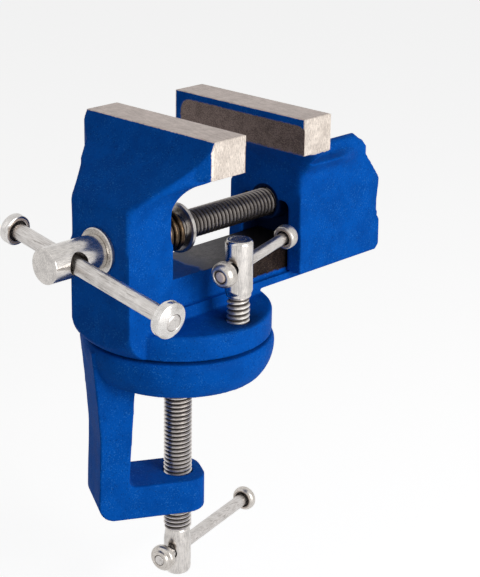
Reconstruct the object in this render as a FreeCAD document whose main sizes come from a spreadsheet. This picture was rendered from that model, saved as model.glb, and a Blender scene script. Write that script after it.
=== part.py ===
import FreeCAD, Part
import os
import Sketcher
from math import atan2, cos, pi, radians, sin, sqrt

from FreeCAD import Placement, Rotation, Vector

# Clamp-on table vise with 60 mm jaws and a swivel base, in millimetres.
# Frame: origin on the swivel axis in the plane of the table seat, which is the underside of the
# clamp frame's disc. +Z is up, +Y runs along the main screw from its handle to the moving jaw,
# and +X is to the right of a user who stands at the handle.

DRIVING_SIZES = {
    # jaws
    "jaw_width": 60.0,
    "jaw_top": 86.3,
    "head_height": 12.6,
    "front_head_thick": 13.6,
    "rear_head_thick": 13.1,
    "opening": 27.4,
    # front post of the vise body
    "post_half": 14.0,
    "post_front": 35.2,
    "post_back": 16.0,
    "slope_bottom": 64.2,
    "slope_top": 77.8,
    "nose_front": 17.7,
    "nose_half": 25.5,
    "wing_front": 14.8,
    "flare_low": 58.0,
    "flare_high": 71.6,
    "flare_round": 13.78,
    "throat_round": 15.2,
    "foot_out": 37.9,
    "foot_high": 24.0,
    "foot_round": 12.1,
    "slope_round": 3.0,
    "brow_round": 9.0,
    # swivel
    "upper_disc": 31.5,
    "upper_low": 13.6,
    "upper_high": 22.1,
    "lower_disc": 32.4,
    "lower_foot": 28.6,
    "lower_high": 12.6,
    "seat_edge": 1.6,
    "seat_relief_in": 12.5,
    "seat_relief_out": 24.5,
    "seat_relief_deep": 7.2,
    "disc_relief_in": 17.0,
    "disc_relief_out": 28.5,
    "disc_relief_high": 18.1,
    "lock_boss": 6.4,
    "bearing_ring": 14.0,
    "swivel_play": 0.05,
    # guide rail
    "rail_half": 10.0,
    "rail_top": 36.0,
    "flange_half": 12.0,
    "flange_low": 23.4,
    "flange_high": 26.0,
    "rail_end": 66.0,
    "rail_hollow_half": 6.4,
    "rail_hollow_front": 10.0,
    "rail_hollow_top": 31.4,
    "post_core_half": 8.6,
    "post_core_front": 29.0,
    "post_core_back": 20.0,
    "post_core_top": 41.0,
    "slide_play": 0.06,
    # moving jaw
    "body_half": 16.5,
    "body_front": 41.8,
    "body_back": 84.4,
    "body_low": 26.1,
    "body_top": 70.6,
    "waist": 61.5,
    "cheek_inside": 12.3,
    "nut_block_back": 56.0,
    "tray_floor": 64.0,
    "cavity_top": 60.2,
    "body_draft": 0.9,
    "mouth_half": 11.0,
    "mouth_top": 51.0,
    "mouth_deep": 6.5,
    "mouth_round": 3.0,
    "nut_boss": 6.2,
    "shoulder": 67.3,
    "shoulder_in": 15.3,
    # the moving jaw's back: how far in from its rearmost plane, and how high over the jaw's foot
    "toe_in": 1.8,
    "toe_high": 2.0,
    "step_high": 11.0,
    "ledge_in": 1.4,
    "ledge_high": 13.2,
    "ledge_end": 19.0,
    # the same, but how deep under the body's top
    "crown_in": 0.4,
    "crown_deep": 18.0,
    "crown_edge_in": 1.2,
    "crown_edge_deep": 16.6,
    "slant_in": 8.2,
    "slant_deep": 7.4,
    "cap_deep": 4.6,
    "cap_in": 11.8,
    "cheek_back": 14.0,
    # main screw
    "screw_high": 49.0,
    "screw_radius": 4.95,
    "screw_end": 74.0,
    "screw_head": 5.9,
    "screw_head_end": 57.7,
    "washer_radius": 7.75,
    "washer_thick": 1.5,
    "ring_radius": 8.5,
    "ring_front": 1.6,
    "ring_thick": 2.0,
    "wire_radius": 1.0,
    "coil_radius": 6.3,
    "coil_pitch": 3.5,
    "main_bar_radius": 2.7,
    "main_eye_radius": 3.7,
    "main_eye_lift": 0.7,
    "main_knob_left_radius": 5.1,
    "main_knob_right_radius": 5.8,
    "main_knob_long": 4.6,
    "pin_radius": 1.1,
    "main_eye_from_axis": 48.3,
    # lock screw
    "lock_right": 24.65,
    "lock_back": 3.3,
    "lock_radius": 3.9,
    "lock_head_radius": 4.6,
    "lock_head_low": 30.8,
    "lock_head_top": 50.0,
    "lock_eye_high": 40.8,
    "lock_bar_radius": 1.95,
    "lock_eye_radius": 2.7,
    "lock_knob_front_radius": 4.35,
    "lock_knob_back_radius": 4.1,
    "lock_knob_long": 4.6,
    "tip_gap": 0.65,
    "tip_base": 1.6,
    "tip_stem": 1.5,
    "tip_stem_top": 3.2,
    # clamp
    "column_out": 29.2,
    "column_in": 17.1,
    "heel_out": 30.1,
    "throat_in": 19.5,
    "column_half": 10.1,
    "arm_top": 39.3,
    "arm_low": 51.2,
    "arm_tip": 8.6,
    "arm_tip_round": 7.5,
    "heel_round": 5.6,
    "throat_edge_round": 2.2,
    "clamp_head_radius": 4.7,
    "clamp_head_top": 62.0,
    "clamp_head_low": 78.4,
    "clamp_eye_low": 69.7,
    "clamp_bar_radius": 2.25,
    "clamp_eye_radius": 2.6,
    "clamp_knob_front_radius": 4.7,
    "clamp_knob_back_radius": 4.5,
    "clamp_knob_long": 4.8,
    "pad_radius": 9.4,
    "pad_top": 2.6,
    "pad_thick": 5.6,
    "pad_socket": 3.6,
    "pad_bevel": 0.6,
    "pad_rim": 2.4,
    "pad_shoulder": 3.0,
    "pad_roof": 1.6,
    # pivot
    "pivot_radius": 4.0,
    "pivot_head_flat": 6.5,
    "pivot_head_low": 0.8,
    "pivot_head_high": 6.1,
    "pivot_washer_thick": 1.5,
    "pivot_recess": 9.0,
    "pivot_recess_deep": 7.8,
    "pivot_play": 0.08,
    "thread_play": 0.06,
}

# Directions at rest, in degrees: the clamp arm and the three sliding bars.
ARM_TURN = 60.6
MAIN_BAR_TURN = -8.9
LOCK_BAR_TURN = 97.5
LOCK_BAR_RISE = 7.0
CLAMP_BAR_TURN = 102.0

# How far each sliding bar reaches to either side of its screw.
MAIN_BAR_REACH = (-28.7, 48.7)
LOCK_BAR_REACH = (-10.3, 29.1)
CLAMP_BAR_REACH = (-11.6, 47.6)

# Half of a hexagon's width over its corners, for half of its width over its flats.
CORNER_OF_FLAT = 2 / sqrt(3)

doc = FreeCAD.newDocument("table_vise")


class Size:
    """A length that knows both its value and the sheet formula that drives it."""

    def __init__(self, value, formula):
        self.value = value
        self.formula = formula

    def __add__(self, other):
        other = as_size(other)
        return Size(self.value + other.value, f"({self.formula} + {other.formula})")

    def __radd__(self, other):
        return as_size(other) + self

    def __sub__(self, other):
        other = as_size(other)
        return Size(self.value - other.value, f"({self.formula} - {other.formula})")

    def __rsub__(self, other):
        return as_size(other) - self

    def __mul__(self, factor):
        return Size(self.value * factor, f"({self.formula} * {factor})")

    __rmul__ = __mul__

    def __neg__(self):
        return Size(-self.value, f"(-{self.formula})")


def as_size(number):
    return number if isinstance(number, Size) else Size(float(number), f"({float(number)})")


class Arc:
    """Marks a profile edge as an arc. A positive radius bulges to the right of its direction."""

    def __init__(self, radius):
        self.radius = as_size(radius)


def make_sheet():
    """Write the driving sizes into the spreadsheet and return them as Size values by name."""
    sheet = doc.addObject("Spreadsheet::Sheet", "dims")
    sizes = {}
    for row, (name, value) in enumerate(DRIVING_SIZES.items(), start=1):
        sheet.set(f"A{row}", name)
        sheet.set(f"B{row}", str(value))
        sheet.setAlias(f"B{row}", name)
        sizes[name] = Size(value, f"dims.{name}")
    doc.recompute()
    return sizes


D = make_sheet()


# ---------------------------------------------------------------- sketch and feature helpers

def new_body(label):
    body = doc.addObject("PartDesign::Body", label)
    body.Label = label
    return body


def origin_part(body, role):
    return next(item for item in body.Origin.OriginFeatures if item.Role == role)


def new_sketch(body, name, plane, offset=None):
    """A sketch on one of the body's own planes, or at an offset along that plane's normal."""
    sketch = body.newObject("Sketcher::SketchObject", name)
    sketch.AttachmentSupport = [(origin_part(body, plane), "")]
    sketch.MapMode = "FlatFace"
    if offset is not None:
        sketch.AttachmentOffset = Placement(Vector(0, 0, offset.value), Rotation())
        sketch.setExpression("AttachmentOffset.Base.z", offset.formula)
    return sketch


def arc_between(start, end, radius):
    """The shorter arc between two corners, drawn anticlockwise as sketches need it. A positive
    radius turns left on the way from start to end, and so bulges to the right."""
    chord = end - start
    half = chord.Length / 2
    left = Vector(-chord.y, chord.x, 0).normalize()
    side = 1 if radius > 0 else -1
    centre = (start + end) * 0.5 + left * (side * sqrt(max(radius * radius - half * half, 0.0)))
    first, last = (start, end) if radius > 0 else (end, start)
    from_angle = atan2(first.y - centre.y, first.x - centre.x)
    to_angle = atan2(last.y - centre.y, last.x - centre.x)
    if to_angle < from_angle:
        to_angle += 2 * pi
    circle = Part.Circle(centre, Vector(0, 0, 1), abs(radius))
    return Part.ArcOfCircle(circle, from_angle, to_angle)


def fix_distance(sketch, kind, index, position, size):
    if size.value == 0:
        axis = -2 if kind == "DistanceX" else -1
        sketch.addConstraint(Sketcher.Constraint("PointOnObject", index, position, axis))
        return
    constraint = Sketcher.Constraint(kind, -1, 1, index, position, size.value)
    number = sketch.addConstraint(constraint)
    sketch.setExpression(f"Constraints[{number}]", size.formula)


def draw_loop(sketch, items):
    """Draw a closed outline. items holds (x, y) corners, with an Arc after a corner where the
    edge that leaves it is round."""
    corners = []
    arcs = {}
    for item in items:
        if isinstance(item, Arc):
            arcs[len(corners) - 1] = item.radius
        else:
            corners.append((as_size(item[0]), as_size(item[1])))
    points = [Vector(x.value, y.value, 0) for x, y in corners]
    first = sketch.GeometryCount
    starts = []
    for number, point in enumerate(points):
        after = points[(number + 1) % len(points)]
        if number in arcs:
            radius = arcs[number].value
            index = sketch.addGeometry(arc_between(point, after, radius), False)
            starts.append((index, 1, 2) if radius > 0 else (index, 2, 1))
        else:
            index = sketch.addGeometry(Part.LineSegment(point, after), False)
            starts.append((index, 1, 2))
    count = len(points)
    for number in range(count):
        index, _, tail = starts[number]
        after, head, _ = starts[(number + 1) % count]
        sketch.addConstraint(Sketcher.Constraint("Coincident", index, tail, after, head))
    for number, (x, y) in enumerate(corners):
        index, head, _ = starts[number]
        fix_distance(sketch, "DistanceX", index, head, x)
        fix_distance(sketch, "DistanceY", index, head, y)
    for number, radius in arcs.items():
        constraint = Sketcher.Constraint("Radius", first + number, abs(radius.value))
        bound = sketch.addConstraint(constraint)
        formula = radius.formula if radius.value > 0 else f"(-{radius.formula})"
        sketch.setExpression(f"Constraints[{bound}]", formula)


def draw_circle(sketch, x, y, radius):
    x, y, radius = as_size(x), as_size(y), as_size(radius)
    circle = Part.Circle(Vector(x.value, y.value, 0), Vector(0, 0, 1), radius.value)
    index = sketch.addGeometry(circle, False)
    fix_distance(sketch, "DistanceX", index, 3, x)
    fix_distance(sketch, "DistanceY", index, 3, y)
    number = sketch.addConstraint(Sketcher.Constraint("Radius", index, radius.value))
    sketch.setExpression(f"Constraints[{number}]", radius.formula)


def rectangle(left, low, right, high):
    return [(left, low), (right, low), (right, high), (left, high)]


def mirrored(items):
    """The same outline on the other side of the sketch's vertical axis. It is drawn the other
    way round, so that an Arc still bulges to the same side of the material. The edge that closes
    the outline has to be straight."""
    turned = []
    for item in reversed(items):
        turned.append(item if isinstance(item, Arc) else (-as_size(item[0]), item[1]))
    return turned


def pad_even(body, name, sketch, width):
    """A pad that reaches as far to each side of its sketch."""
    pad = body.newObject("PartDesign::Pad", name)
    pad.Profile = sketch
    pad.SideType = "Symmetric"
    pad.Length = width.value
    pad.setExpression("Length", width.formula)
    doc.recompute()
    return pad


def pad_two_sides(body, name, sketch, along, against):
    """A pad with its own length along the sketch's normal and against it."""
    pad = body.newObject("PartDesign::Pad", name)
    pad.Profile = sketch
    pad.SideType = "Two sides"
    pad.Length = along.value
    pad.setExpression("Length", along.formula)
    pad.Length2 = against.value
    pad.setExpression("Length2", against.formula)
    doc.recompute()
    return pad


def checked_cut(body, before, cut):
    doc.recompute()
    if not cut.Shape.Volume < before - 1e-3:
        raise RuntimeError(f"{body.Label}: {cut.Name} removes nothing")
    return cut


def cut_through(body, name, sketch):
    before = body.Shape.Volume
    cut = body.newObject("PartDesign::Pocket", name)
    cut.Profile = sketch
    cut.Type = "ThroughAll"
    cut.SideType = "Symmetric"
    return checked_cut(body, before, cut)


def cut_behind(body, name, sketch):
    """A pocket from an upright sketch through everything on its +Y side."""
    before = body.Shape.Volume
    cut = body.newObject("PartDesign::Pocket", name)
    cut.Profile = sketch
    cut.Type = "ThroughAll"
    cut.SideType = "One side"
    return checked_cut(body, before, cut)


def cut_to(body, name, sketch, depth, upward):
    """A pocket from the sketch plane to a depth, along the sketch's normal if upward is true."""
    before = body.Shape.Volume
    cut = body.newObject("PartDesign::Pocket", name)
    cut.Profile = sketch
    cut.Type = "Length"
    cut.Reversed = upward
    depth = as_size(depth)
    cut.Length = depth.value
    cut.setExpression("Length", depth.formula)
    return checked_cut(body, before, cut)


def spin(body, name, items):
    """Turn an outline, drawn as (radius, height), about the body's Z axis."""
    sketch = new_sketch(body, name + "_outline", "XZ_Plane")
    draw_loop(sketch, items)
    turn = body.newObject("PartDesign::Revolution", name)
    turn.Profile = sketch
    turn.ReferenceAxis = (origin_part(body, "Z_Axis"), [""])
    turn.Angle = 360
    doc.recompute()
    return turn


def groove(body, name, items):
    """Cut a ring, whose section is drawn as (radius, height), out of the body about its Z axis."""
    before = body.Shape.Volume
    sketch = new_sketch(body, name + "_outline", "XZ_Plane")
    draw_loop(sketch, items)
    cut = body.newObject("PartDesign::Groove", name)
    cut.Profile = sketch
    cut.ReferenceAxis = (origin_part(body, "Z_Axis"), [""])
    cut.Angle = 360
    return checked_cut(body, before, cut)


def round_edges(body, name, radius, wanted):
    """Fillet those edges of the body's last feature for which wanted(edge) is true."""
    base = body.Tip
    names = [f"Edge{i}" for i, edge in enumerate(base.Shape.Edges, start=1) if wanted(edge)]
    if not names:
        raise RuntimeError(f"{body.Label}: {name} finds no edge")
    fillet = body.newObject("PartDesign::Fillet", name)
    fillet.Base = (base, names)
    fillet.Radius = radius.value
    fillet.setExpression("Radius", radius.formula)
    doc.recompute()
    return fillet


def middle(edge):
    return edge.valueAt((edge.FirstParameter + edge.LastParameter) / 2)


def near(value, target, within=0.05):
    return abs(value - target) < within


def turned_placement(position, x_axis, z_axis):
    """A placement whose local Z runs along z_axis and whose local X runs along x_axis."""
    x_axis = Vector(*x_axis).normalize()
    z_axis = Vector(*z_axis).normalize()
    return Placement(Vector(*position), Rotation(x_axis, z_axis.cross(x_axis), z_axis, "ZXY"))


# ---------------------------------------------------------------- castings

def make_clamp_frame():
    """Round table seat, column and lower arm in one casting. Local +X points along the arm."""
    body = new_body("clamp_frame")
    seat_curve = 15.0
    seat_bevel = 0.7
    column_curve = 600.0
    column_bend = 22.0
    edge_high = D["lower_high"] - D["seat_edge"]
    spin(body, "seat", [
        (0, 0),
        (D["seat_relief_in"], 0),
        (D["seat_relief_in"], D["seat_relief_deep"]),
        (D["seat_relief_out"], D["seat_relief_deep"]),
        (D["seat_relief_out"], 0),
        (D["lower_foot"], 0),
        Arc(seat_curve),
        (D["lower_disc"], edge_high),
        (D["lower_disc"] - seat_bevel, D["lower_high"]),
        (D["bearing_ring"], D["lower_high"]),
        (D["bearing_ring"], D["upper_low"] - D["swivel_play"]),
        (0, D["upper_low"] - D["swivel_play"]),
    ])
    side = new_sketch(body, "column_side", "XZ_Plane")
    draw_loop(side, [
        (-D["lower_disc"] + seat_bevel * 0.5, edge_high),
        Arc(-column_curve),
        (-D["column_out"], -column_bend),
        (-D["heel_out"], -D["arm_low"]),
        (D["arm_tip"], -D["arm_low"]),
        (D["arm_tip"], -D["arm_top"]),
        (-D["throat_in"], -D["arm_top"]),
        (-D["column_in"], 0),
        (-D["column_in"], edge_high),
    ])
    pad_even(body, "column", side, D["column_half"] * 2)

    def tip_corner(edge):
        upright = edge.BoundBox.ZLength > 1
        return near(middle(edge).x, D["arm_tip"].value) and upright

    round_edges(body, "arm_tip_round", D["arm_tip_round"], tip_corner)

    def heel(edge):
        point = middle(edge)
        return near(point.x, -D["heel_out"].value) and near(point.z, -D["arm_low"].value)

    round_edges(body, "heel_round", D["heel_round"], heel)

    def inner_corner(edge):
        point = middle(edge)
        at_arm = near(point.z, -D["arm_top"].value) and near(point.x, -D["throat_in"].value)
        at_seat = near(point.z, 0.0) and near(point.x, -D["column_in"].value)
        return (at_arm or at_seat) and near(point.y, 0)

    round_edges(body, "throat_round", D["throat_edge_round"], inner_corner)
    screw = new_sketch(body, "screw_hole_outline", "XY_Plane")
    draw_circle(screw, 0, 0, D["screw_radius"] + D["thread_play"])
    cut_to(body, "screw_hole", screw, D["arm_low"] + 1, upward=False)
    bore = new_sketch(body, "pivot_bore_outline", "XY_Plane")
    draw_circle(bore, 0, 0, D["pivot_radius"] + D["pivot_play"])
    cut_to(body, "pivot_bore", bore, D["upper_low"], upward=True)
    recess = new_sketch(body, "pivot_recess_outline", "XY_Plane")
    draw_circle(recess, 0, 0, D["pivot_recess"])
    cut_to(body, "pivot_recess", recess, D["pivot_recess_deep"], upward=True)
    body.Placement = Placement(Vector(), Rotation(Vector(0, 0, 1), ARM_TURN))
    return body


def make_vise_body():
    """Front jaw, cored post, hollow guide rail and upper swivel disc in one casting."""
    body = new_body("vise_body")
    rim = 1.0
    overlap = 0.5
    clear = 2.0
    head_low = D["jaw_top"] - D["head_height"]
    side = new_sketch(body, "jaw_side", "YZ_Plane")
    draw_loop(side, [
        (-D["post_front"], D["upper_low"]),
        (-D["post_back"], D["upper_low"]),
        (-D["post_back"], head_low - D["throat_round"]),
        Arc(-D["throat_round"]),
        (-D["post_back"] + D["throat_round"], head_low),
        (0, head_low),
        (0, D["jaw_top"]),
        (-D["front_head_thick"], D["jaw_top"]),
        (-D["nose_front"], D["slope_top"]),
        (-D["post_front"], D["slope_bottom"]),
    ])
    pad_even(body, "jaw", side, D["jaw_width"])
    outside = D["jaw_width"] * 0.5 + clear
    front = new_sketch(body, "jaw_front", "XZ_Plane")
    beside_post = [
        (D["post_half"], 0),
        (outside, 0),
        (outside, head_low),
        (D["nose_half"], head_low),
        (D["nose_half"], D["flare_high"]),
        Arc(D["flare_round"]),
        (D["post_half"], D["flare_low"]),
    ]
    draw_loop(front, beside_post)
    draw_loop(front, mirrored(beside_post))
    cut_through(body, "beside_post", front)
    plan = new_sketch(body, "jaw_plan", "XY_Plane")
    beside_nose = [
        (D["post_half"], -D["post_front"] - clear),
        (outside, -D["post_front"] - clear),
        (outside, -D["wing_front"]),
        (D["jaw_width"] * 0.5, -D["wing_front"]),
        (D["nose_half"], -D["nose_front"]),
        (D["post_half"], -D["post_front"]),
    ]
    draw_loop(plan, beside_nose)
    draw_loop(plan, mirrored(beside_nose))
    cut_through(body, "beside_nose", plan)
    beyond = D["foot_out"] + clear
    groove(body, "foot_round", [
        (D["upper_disc"], D["upper_low"] - overlap),
        (D["upper_disc"], D["upper_low"]),
        Arc(D["foot_round"]),
        (D["foot_out"], D["foot_high"]),
        (beyond, D["foot_high"]),
        (beyond, D["upper_low"] - overlap),
    ])

    def slope_edge(edge):
        point = middle(edge)
        return near(point.y, -D["post_front"].value) and near(point.z, D["slope_bottom"].value)

    round_edges(body, "slope_round", D["slope_round"], slope_edge)

    def brow_edge(edge):
        point = middle(edge)
        return near(point.y, -D["nose_front"].value) and near(point.z, D["slope_top"].value)

    round_edges(body, "brow_round", D["brow_round"], brow_edge)
    spin(body, "swivel_disc", [
        (0, D["upper_low"]),
        (D["upper_disc"] - rim * 0.5, D["upper_low"]),
        Arc(rim * 0.5),
        (D["upper_disc"], D["upper_low"] + rim * 0.5),
        (D["upper_disc"], D["upper_high"] - rim),
        Arc(rim),
        (D["upper_disc"] - rim, D["upper_high"]),
        (0, D["upper_high"]),
    ])
    rail = new_sketch(body, "rail_end_view", "XZ_Plane")
    draw_loop(rail, [
        (-D["flange_half"], D["flange_low"]),
        (D["flange_half"], D["flange_low"]),
        (D["flange_half"], D["flange_high"]),
        (D["rail_half"], D["flange_high"]),
        (D["rail_half"], D["rail_top"]),
        (-D["rail_half"], D["rail_top"]),
        (-D["rail_half"], D["flange_high"]),
        (-D["flange_half"], D["flange_high"]),
    ])
    pad_two_sides(body, "rail", rail, D["post_back"] + overlap, D["rail_end"])
    foot = new_sketch(body, "rail_foot_view", "XZ_Plane")
    foot_low = D["upper_high"] - rim
    draw_loop(foot, rectangle(-D["flange_half"], foot_low, D["flange_half"], D["flange_low"]))
    foot_back = D["upper_disc"] - rim * 4
    pad_two_sides(body, "rail_foot", foot, D["post_back"] + overlap, foot_back)
    relieve_vise_body(body)
    drill_vise_body(body)
    return body


def relieve_vise_body(body):
    """The cast hollows that open downwards: under the disc, in the post and along the rail."""
    disc = new_sketch(body, "disc_relief_outline", "XY_Plane")
    draw_circle(disc, 0, 0, D["disc_relief_out"])
    draw_circle(disc, 0, 0, D["disc_relief_in"])
    cut_to(body, "disc_relief", disc, D["disc_relief_high"], upward=True)
    boss = new_sketch(body, "lock_boss_outline", "XY_Plane", D["upper_low"])
    draw_circle(boss, D["lock_right"], D["lock_back"], D["lock_boss"])
    boss_pad = body.newObject("PartDesign::Pad", "lock_boss")
    boss_pad.Profile = boss
    boss_pad.Length = (D["disc_relief_high"] - D["upper_low"] + 1).value
    boss_pad.setExpression("Length", (D["disc_relief_high"] - D["upper_low"] + 1).formula)
    doc.recompute()
    core = new_sketch(body, "post_core_outline", "XY_Plane")
    half = D["post_core_half"]
    draw_loop(core, rectangle(-half, -D["post_core_front"], half, -D["post_core_back"]))
    cut_to(body, "post_core", core, D["post_core_top"], upward=True)
    rail = new_sketch(body, "rail_hollow_outline", "XY_Plane")
    half = D["rail_hollow_half"]
    draw_loop(rail, rectangle(-half, D["rail_hollow_front"], half, D["rail_end"] + 1))
    cut_to(body, "rail_hollow", rail, D["rail_hollow_top"], upward=True)


def drill_vise_body(body):
    """Bores for the main screw, the lock screw and the swivel pivot."""
    screw = new_sketch(body, "screw_bore_outline", "XZ_Plane")
    draw_circle(screw, 0, D["screw_high"], D["screw_radius"] + D["thread_play"])
    cut_through(body, "screw_bore", screw)
    lock = new_sketch(body, "lock_hole_outline", "XY_Plane")
    draw_circle(lock, D["lock_right"], D["lock_back"], D["lock_radius"] + D["thread_play"])
    cut_to(body, "lock_hole", lock, D["upper_high"] + 1, upward=True)
    pivot = new_sketch(body, "pivot_hole_outline", "XY_Plane")
    draw_circle(pivot, 0, 0, D["pivot_radius"] + D["thread_play"])
    cut_to(body, "pivot_hole", pivot, D["flange_high"] + 4, upward=True)


def make_moving_jaw():
    """Rear jaw: a head in front, and behind it a hollow body that straddles the rail."""
    body = new_body("moving_jaw")
    lip = 2.0
    clear = 2.0
    head_low = D["jaw_top"] - D["head_height"]
    head_front = D["opening"]
    head_back = head_front + D["rear_head_thick"]
    neck = D["body_front"] - head_front - lip
    foot = D["body_low"]
    top = D["body_top"]
    back = D["body_back"]
    side = new_sketch(body, "jaw_side", "YZ_Plane")
    draw_loop(side, [
        (D["body_front"], foot),
        (back - D["toe_in"], foot),
        (back, foot + D["toe_high"]),
        (back, foot + D["step_high"]),
        (back - D["ledge_in"], foot + D["ledge_high"]),
        (back - D["ledge_in"], foot + D["ledge_end"]),
        (back - D["crown_in"], top - D["crown_deep"]),
        (back - D["crown_edge_in"], top - D["crown_edge_deep"]),
        (back - D["slant_in"], top - D["slant_deep"]),
        (back - D["slant_in"], top - D["cap_deep"]),
        (back - D["cap_in"], top),
        (head_back, top),
        (head_back, D["jaw_top"]),
        (head_front, D["jaw_top"]),
        (head_front, head_low),
        (head_front + lip, head_low),
        Arc(-neck),
        (D["body_front"], head_low - neck),
    ])
    pad_even(body, "jaw", side, D["jaw_width"])
    outside = D["jaw_width"] * 0.5 + clear
    front = new_sketch(body, "jaw_front", "XZ_Plane")
    beside_body = [
        (D["body_half"] + D["body_draft"], foot - clear),
        (outside, foot - clear),
        (outside, head_low),
        (D["jaw_width"] * 0.5, head_low),
        (D["body_half"], D["waist"]),
    ]
    draw_loop(front, beside_body)
    draw_loop(front, mirrored(beside_body))
    cut_through(body, "beside_body", front)
    plan = new_sketch(body, "jaw_plan", "XY_Plane", D["waist"])
    beside_neck = [
        (D["body_half"], back - D["cheek_back"]),
        (D["jaw_width"] * 0.5, head_back),
        (outside, head_back),
        (outside, back + clear),
        (D["body_half"], back + clear),
    ]
    draw_loop(plan, beside_neck)
    draw_loop(plan, mirrored(beside_neck))
    cut_to(body, "beside_neck", plan, D["jaw_top"] - D["waist"], True)
    shoulders = new_sketch(body, "shoulders_outline", "XZ_Plane", -head_back)
    beside_shoulder = [
        (D["shoulder_in"], top),
        (D["body_half"], D["shoulder"]),
        (outside, D["shoulder"] - clear),
        (outside, D["jaw_top"] + clear),
        (D["shoulder_in"], D["jaw_top"] + clear),
    ]
    draw_loop(shoulders, beside_shoulder)
    draw_loop(shoulders, mirrored(beside_shoulder))
    cut_behind(body, "shoulders", shoulders)
    hollow_moving_jaw(body)
    return body


def hollow_moving_jaw(body):
    """Tray between the cheeks, cavity behind the nut block, rail channel and nut thread. The
    channel opens into a wider mouth in front, where a round boss carries the nut thread."""
    cheek = D["cheek_inside"]
    tray = new_sketch(body, "tray_outline", "XZ_Plane", -D["nut_block_back"])
    draw_loop(tray, rectangle(-cheek, D["tray_floor"], cheek, D["jaw_top"]))
    cut_behind(body, "tray", tray)
    cavity = new_sketch(body, "cavity_outline", "XZ_Plane", -D["nut_block_back"])
    draw_loop(cavity, rectangle(-cheek, D["body_low"] - 1, cheek, D["cavity_top"]))
    cut_behind(body, "cavity", cavity)
    channel = new_sketch(body, "channel_outline", "XZ_Plane")
    half = D["rail_half"] + D["slide_play"]
    draw_loop(channel, rectangle(-half, D["flange_low"], half, D["rail_top"] + D["slide_play"]))
    cut_through(body, "channel", channel)
    mouth = new_sketch(body, "mouth_outline", "XZ_Plane", -D["body_front"])
    side, top, turn = D["mouth_half"], D["mouth_top"], D["mouth_round"]
    draw_loop(mouth, [
        (-side, D["flange_low"]),
        (side, D["flange_low"]),
        (side, top - turn),
        Arc(turn),
        (side - turn, top),
        (-side + turn, top),
        Arc(turn),
        (-side, top - turn),
    ])
    cut_to(body, "mouth", mouth, D["mouth_deep"], False)
    boss = new_sketch(body, "nut_boss_outline", "XZ_Plane", -(D["body_front"] + D["mouth_deep"]))
    draw_circle(boss, 0, D["screw_high"], D["nut_boss"])
    pad_two_sides(body, "nut_boss", boss, D["mouth_deep"], as_size(1.0))
    nut = new_sketch(body, "nut_thread_outline", "XZ_Plane")
    draw_circle(nut, 0, D["screw_high"], D["screw_radius"] + D["thread_play"])
    cut_through(body, "nut_thread", nut)


# ---------------------------------------------------------------- turned pieces

def turned(label, items, placement):
    """A turned piece: an outline of (radius, height) about its own Z axis."""
    body = new_body(label)
    spin(body, "turned", items)
    body.Placement = placement
    return body


def add_eye(body, height, radius, aside=0):
    """A cross hole along local X through a screw head, for its sliding bar. aside is how far it
    is off the screw's axis, along local Y."""
    eye = new_sketch(body, "eye_outline", "YZ_Plane")
    draw_circle(eye, aside, height, radius)
    cut_through(body, "eye", eye)


def main_bar_direction():
    return (cos(radians(MAIN_BAR_TURN)), 0, sin(radians(MAIN_BAR_TURN)))


def lock_bar_direction():
    level = cos(radians(LOCK_BAR_RISE))
    turn = radians(LOCK_BAR_TURN)
    return (level * cos(turn), level * sin(turn), sin(radians(LOCK_BAR_RISE)))


def clamp_bar_direction():
    turn = radians(CLAMP_BAR_TURN)
    return (cos(turn), sin(turn), 0)


def on_main_screw(y):
    """Placement of a piece whose local Z runs along the main screw, starting at y."""
    return turned_placement((0, y, D["screw_high"].value), main_bar_direction(), (0, 1, 0))


def make_main_screw():
    """Plated head with an eye in front, threaded shank behind. Local Z starts at the head's face."""
    shoulder = D["screw_head_end"] - D["post_front"] - D["washer_thick"]
    length = D["screw_head_end"] + D["screw_end"]
    bevel = 0.9
    lead = 1.2
    radius = D["screw_radius"]
    body = turned("main_screw", [
        (0, 0),
        (D["screw_head"] - bevel, 0),
        (D["screw_head"], bevel),
        (D["screw_head"], shoulder),
        (radius, shoulder),
        (radius, length - lead),
        (radius - lead, length),
        (0, length),
    ], on_main_screw(-D["screw_head_end"].value))
    eye_high = D["screw_head_end"] - D["main_eye_from_axis"]
    add_eye(body, eye_high, D["main_eye_radius"], aside=-D["main_eye_lift"])
    cross = new_sketch(body, "pin_hole_outline", "YZ_Plane")
    pin_at = D["screw_head_end"] - D["ring_front"] + D["ring_thick"] + D["pin_radius"]
    draw_circle(cross, 0, pin_at, D["pin_radius"])
    cut_through(body, "pin_hole", cross)
    return body


def ring_outline(inner, outer, thick):
    edge = 0.3
    return [
        (inner, 0),
        (outer - edge, 0),
        (outer, edge),
        (outer, thick - edge),
        (outer - edge, thick),
        (inner, thick),
    ]


def make_thrust_washer():
    play = 0.08
    outline = ring_outline(D["screw_radius"] + play, D["washer_radius"], D["washer_thick"])
    return turned("thrust_washer", outline, on_main_screw(-(D["post_front"] + D["washer_thick"]).value))


def make_spring_ring():
    """Lipped ring that holds the spring on the screw. Its skirt faces the spring."""
    thick = D["ring_thick"]
    outer = D["ring_radius"]
    inner = D["screw_radius"] + 0.05
    web = 0.7
    lip_in, lip_out = 1.1, 0.8
    edge, bevel = 0.3, 0.5
    outline = [
        (inner, web),
        (outer - lip_in, web),
        (outer - lip_out, 0),
        (outer, edge),
        (outer, thick - bevel),
        (outer - bevel, thick),
        (inner, thick),
    ]
    return turned("spring_ring", outline, on_main_screw(-D["ring_front"].value))


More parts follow.
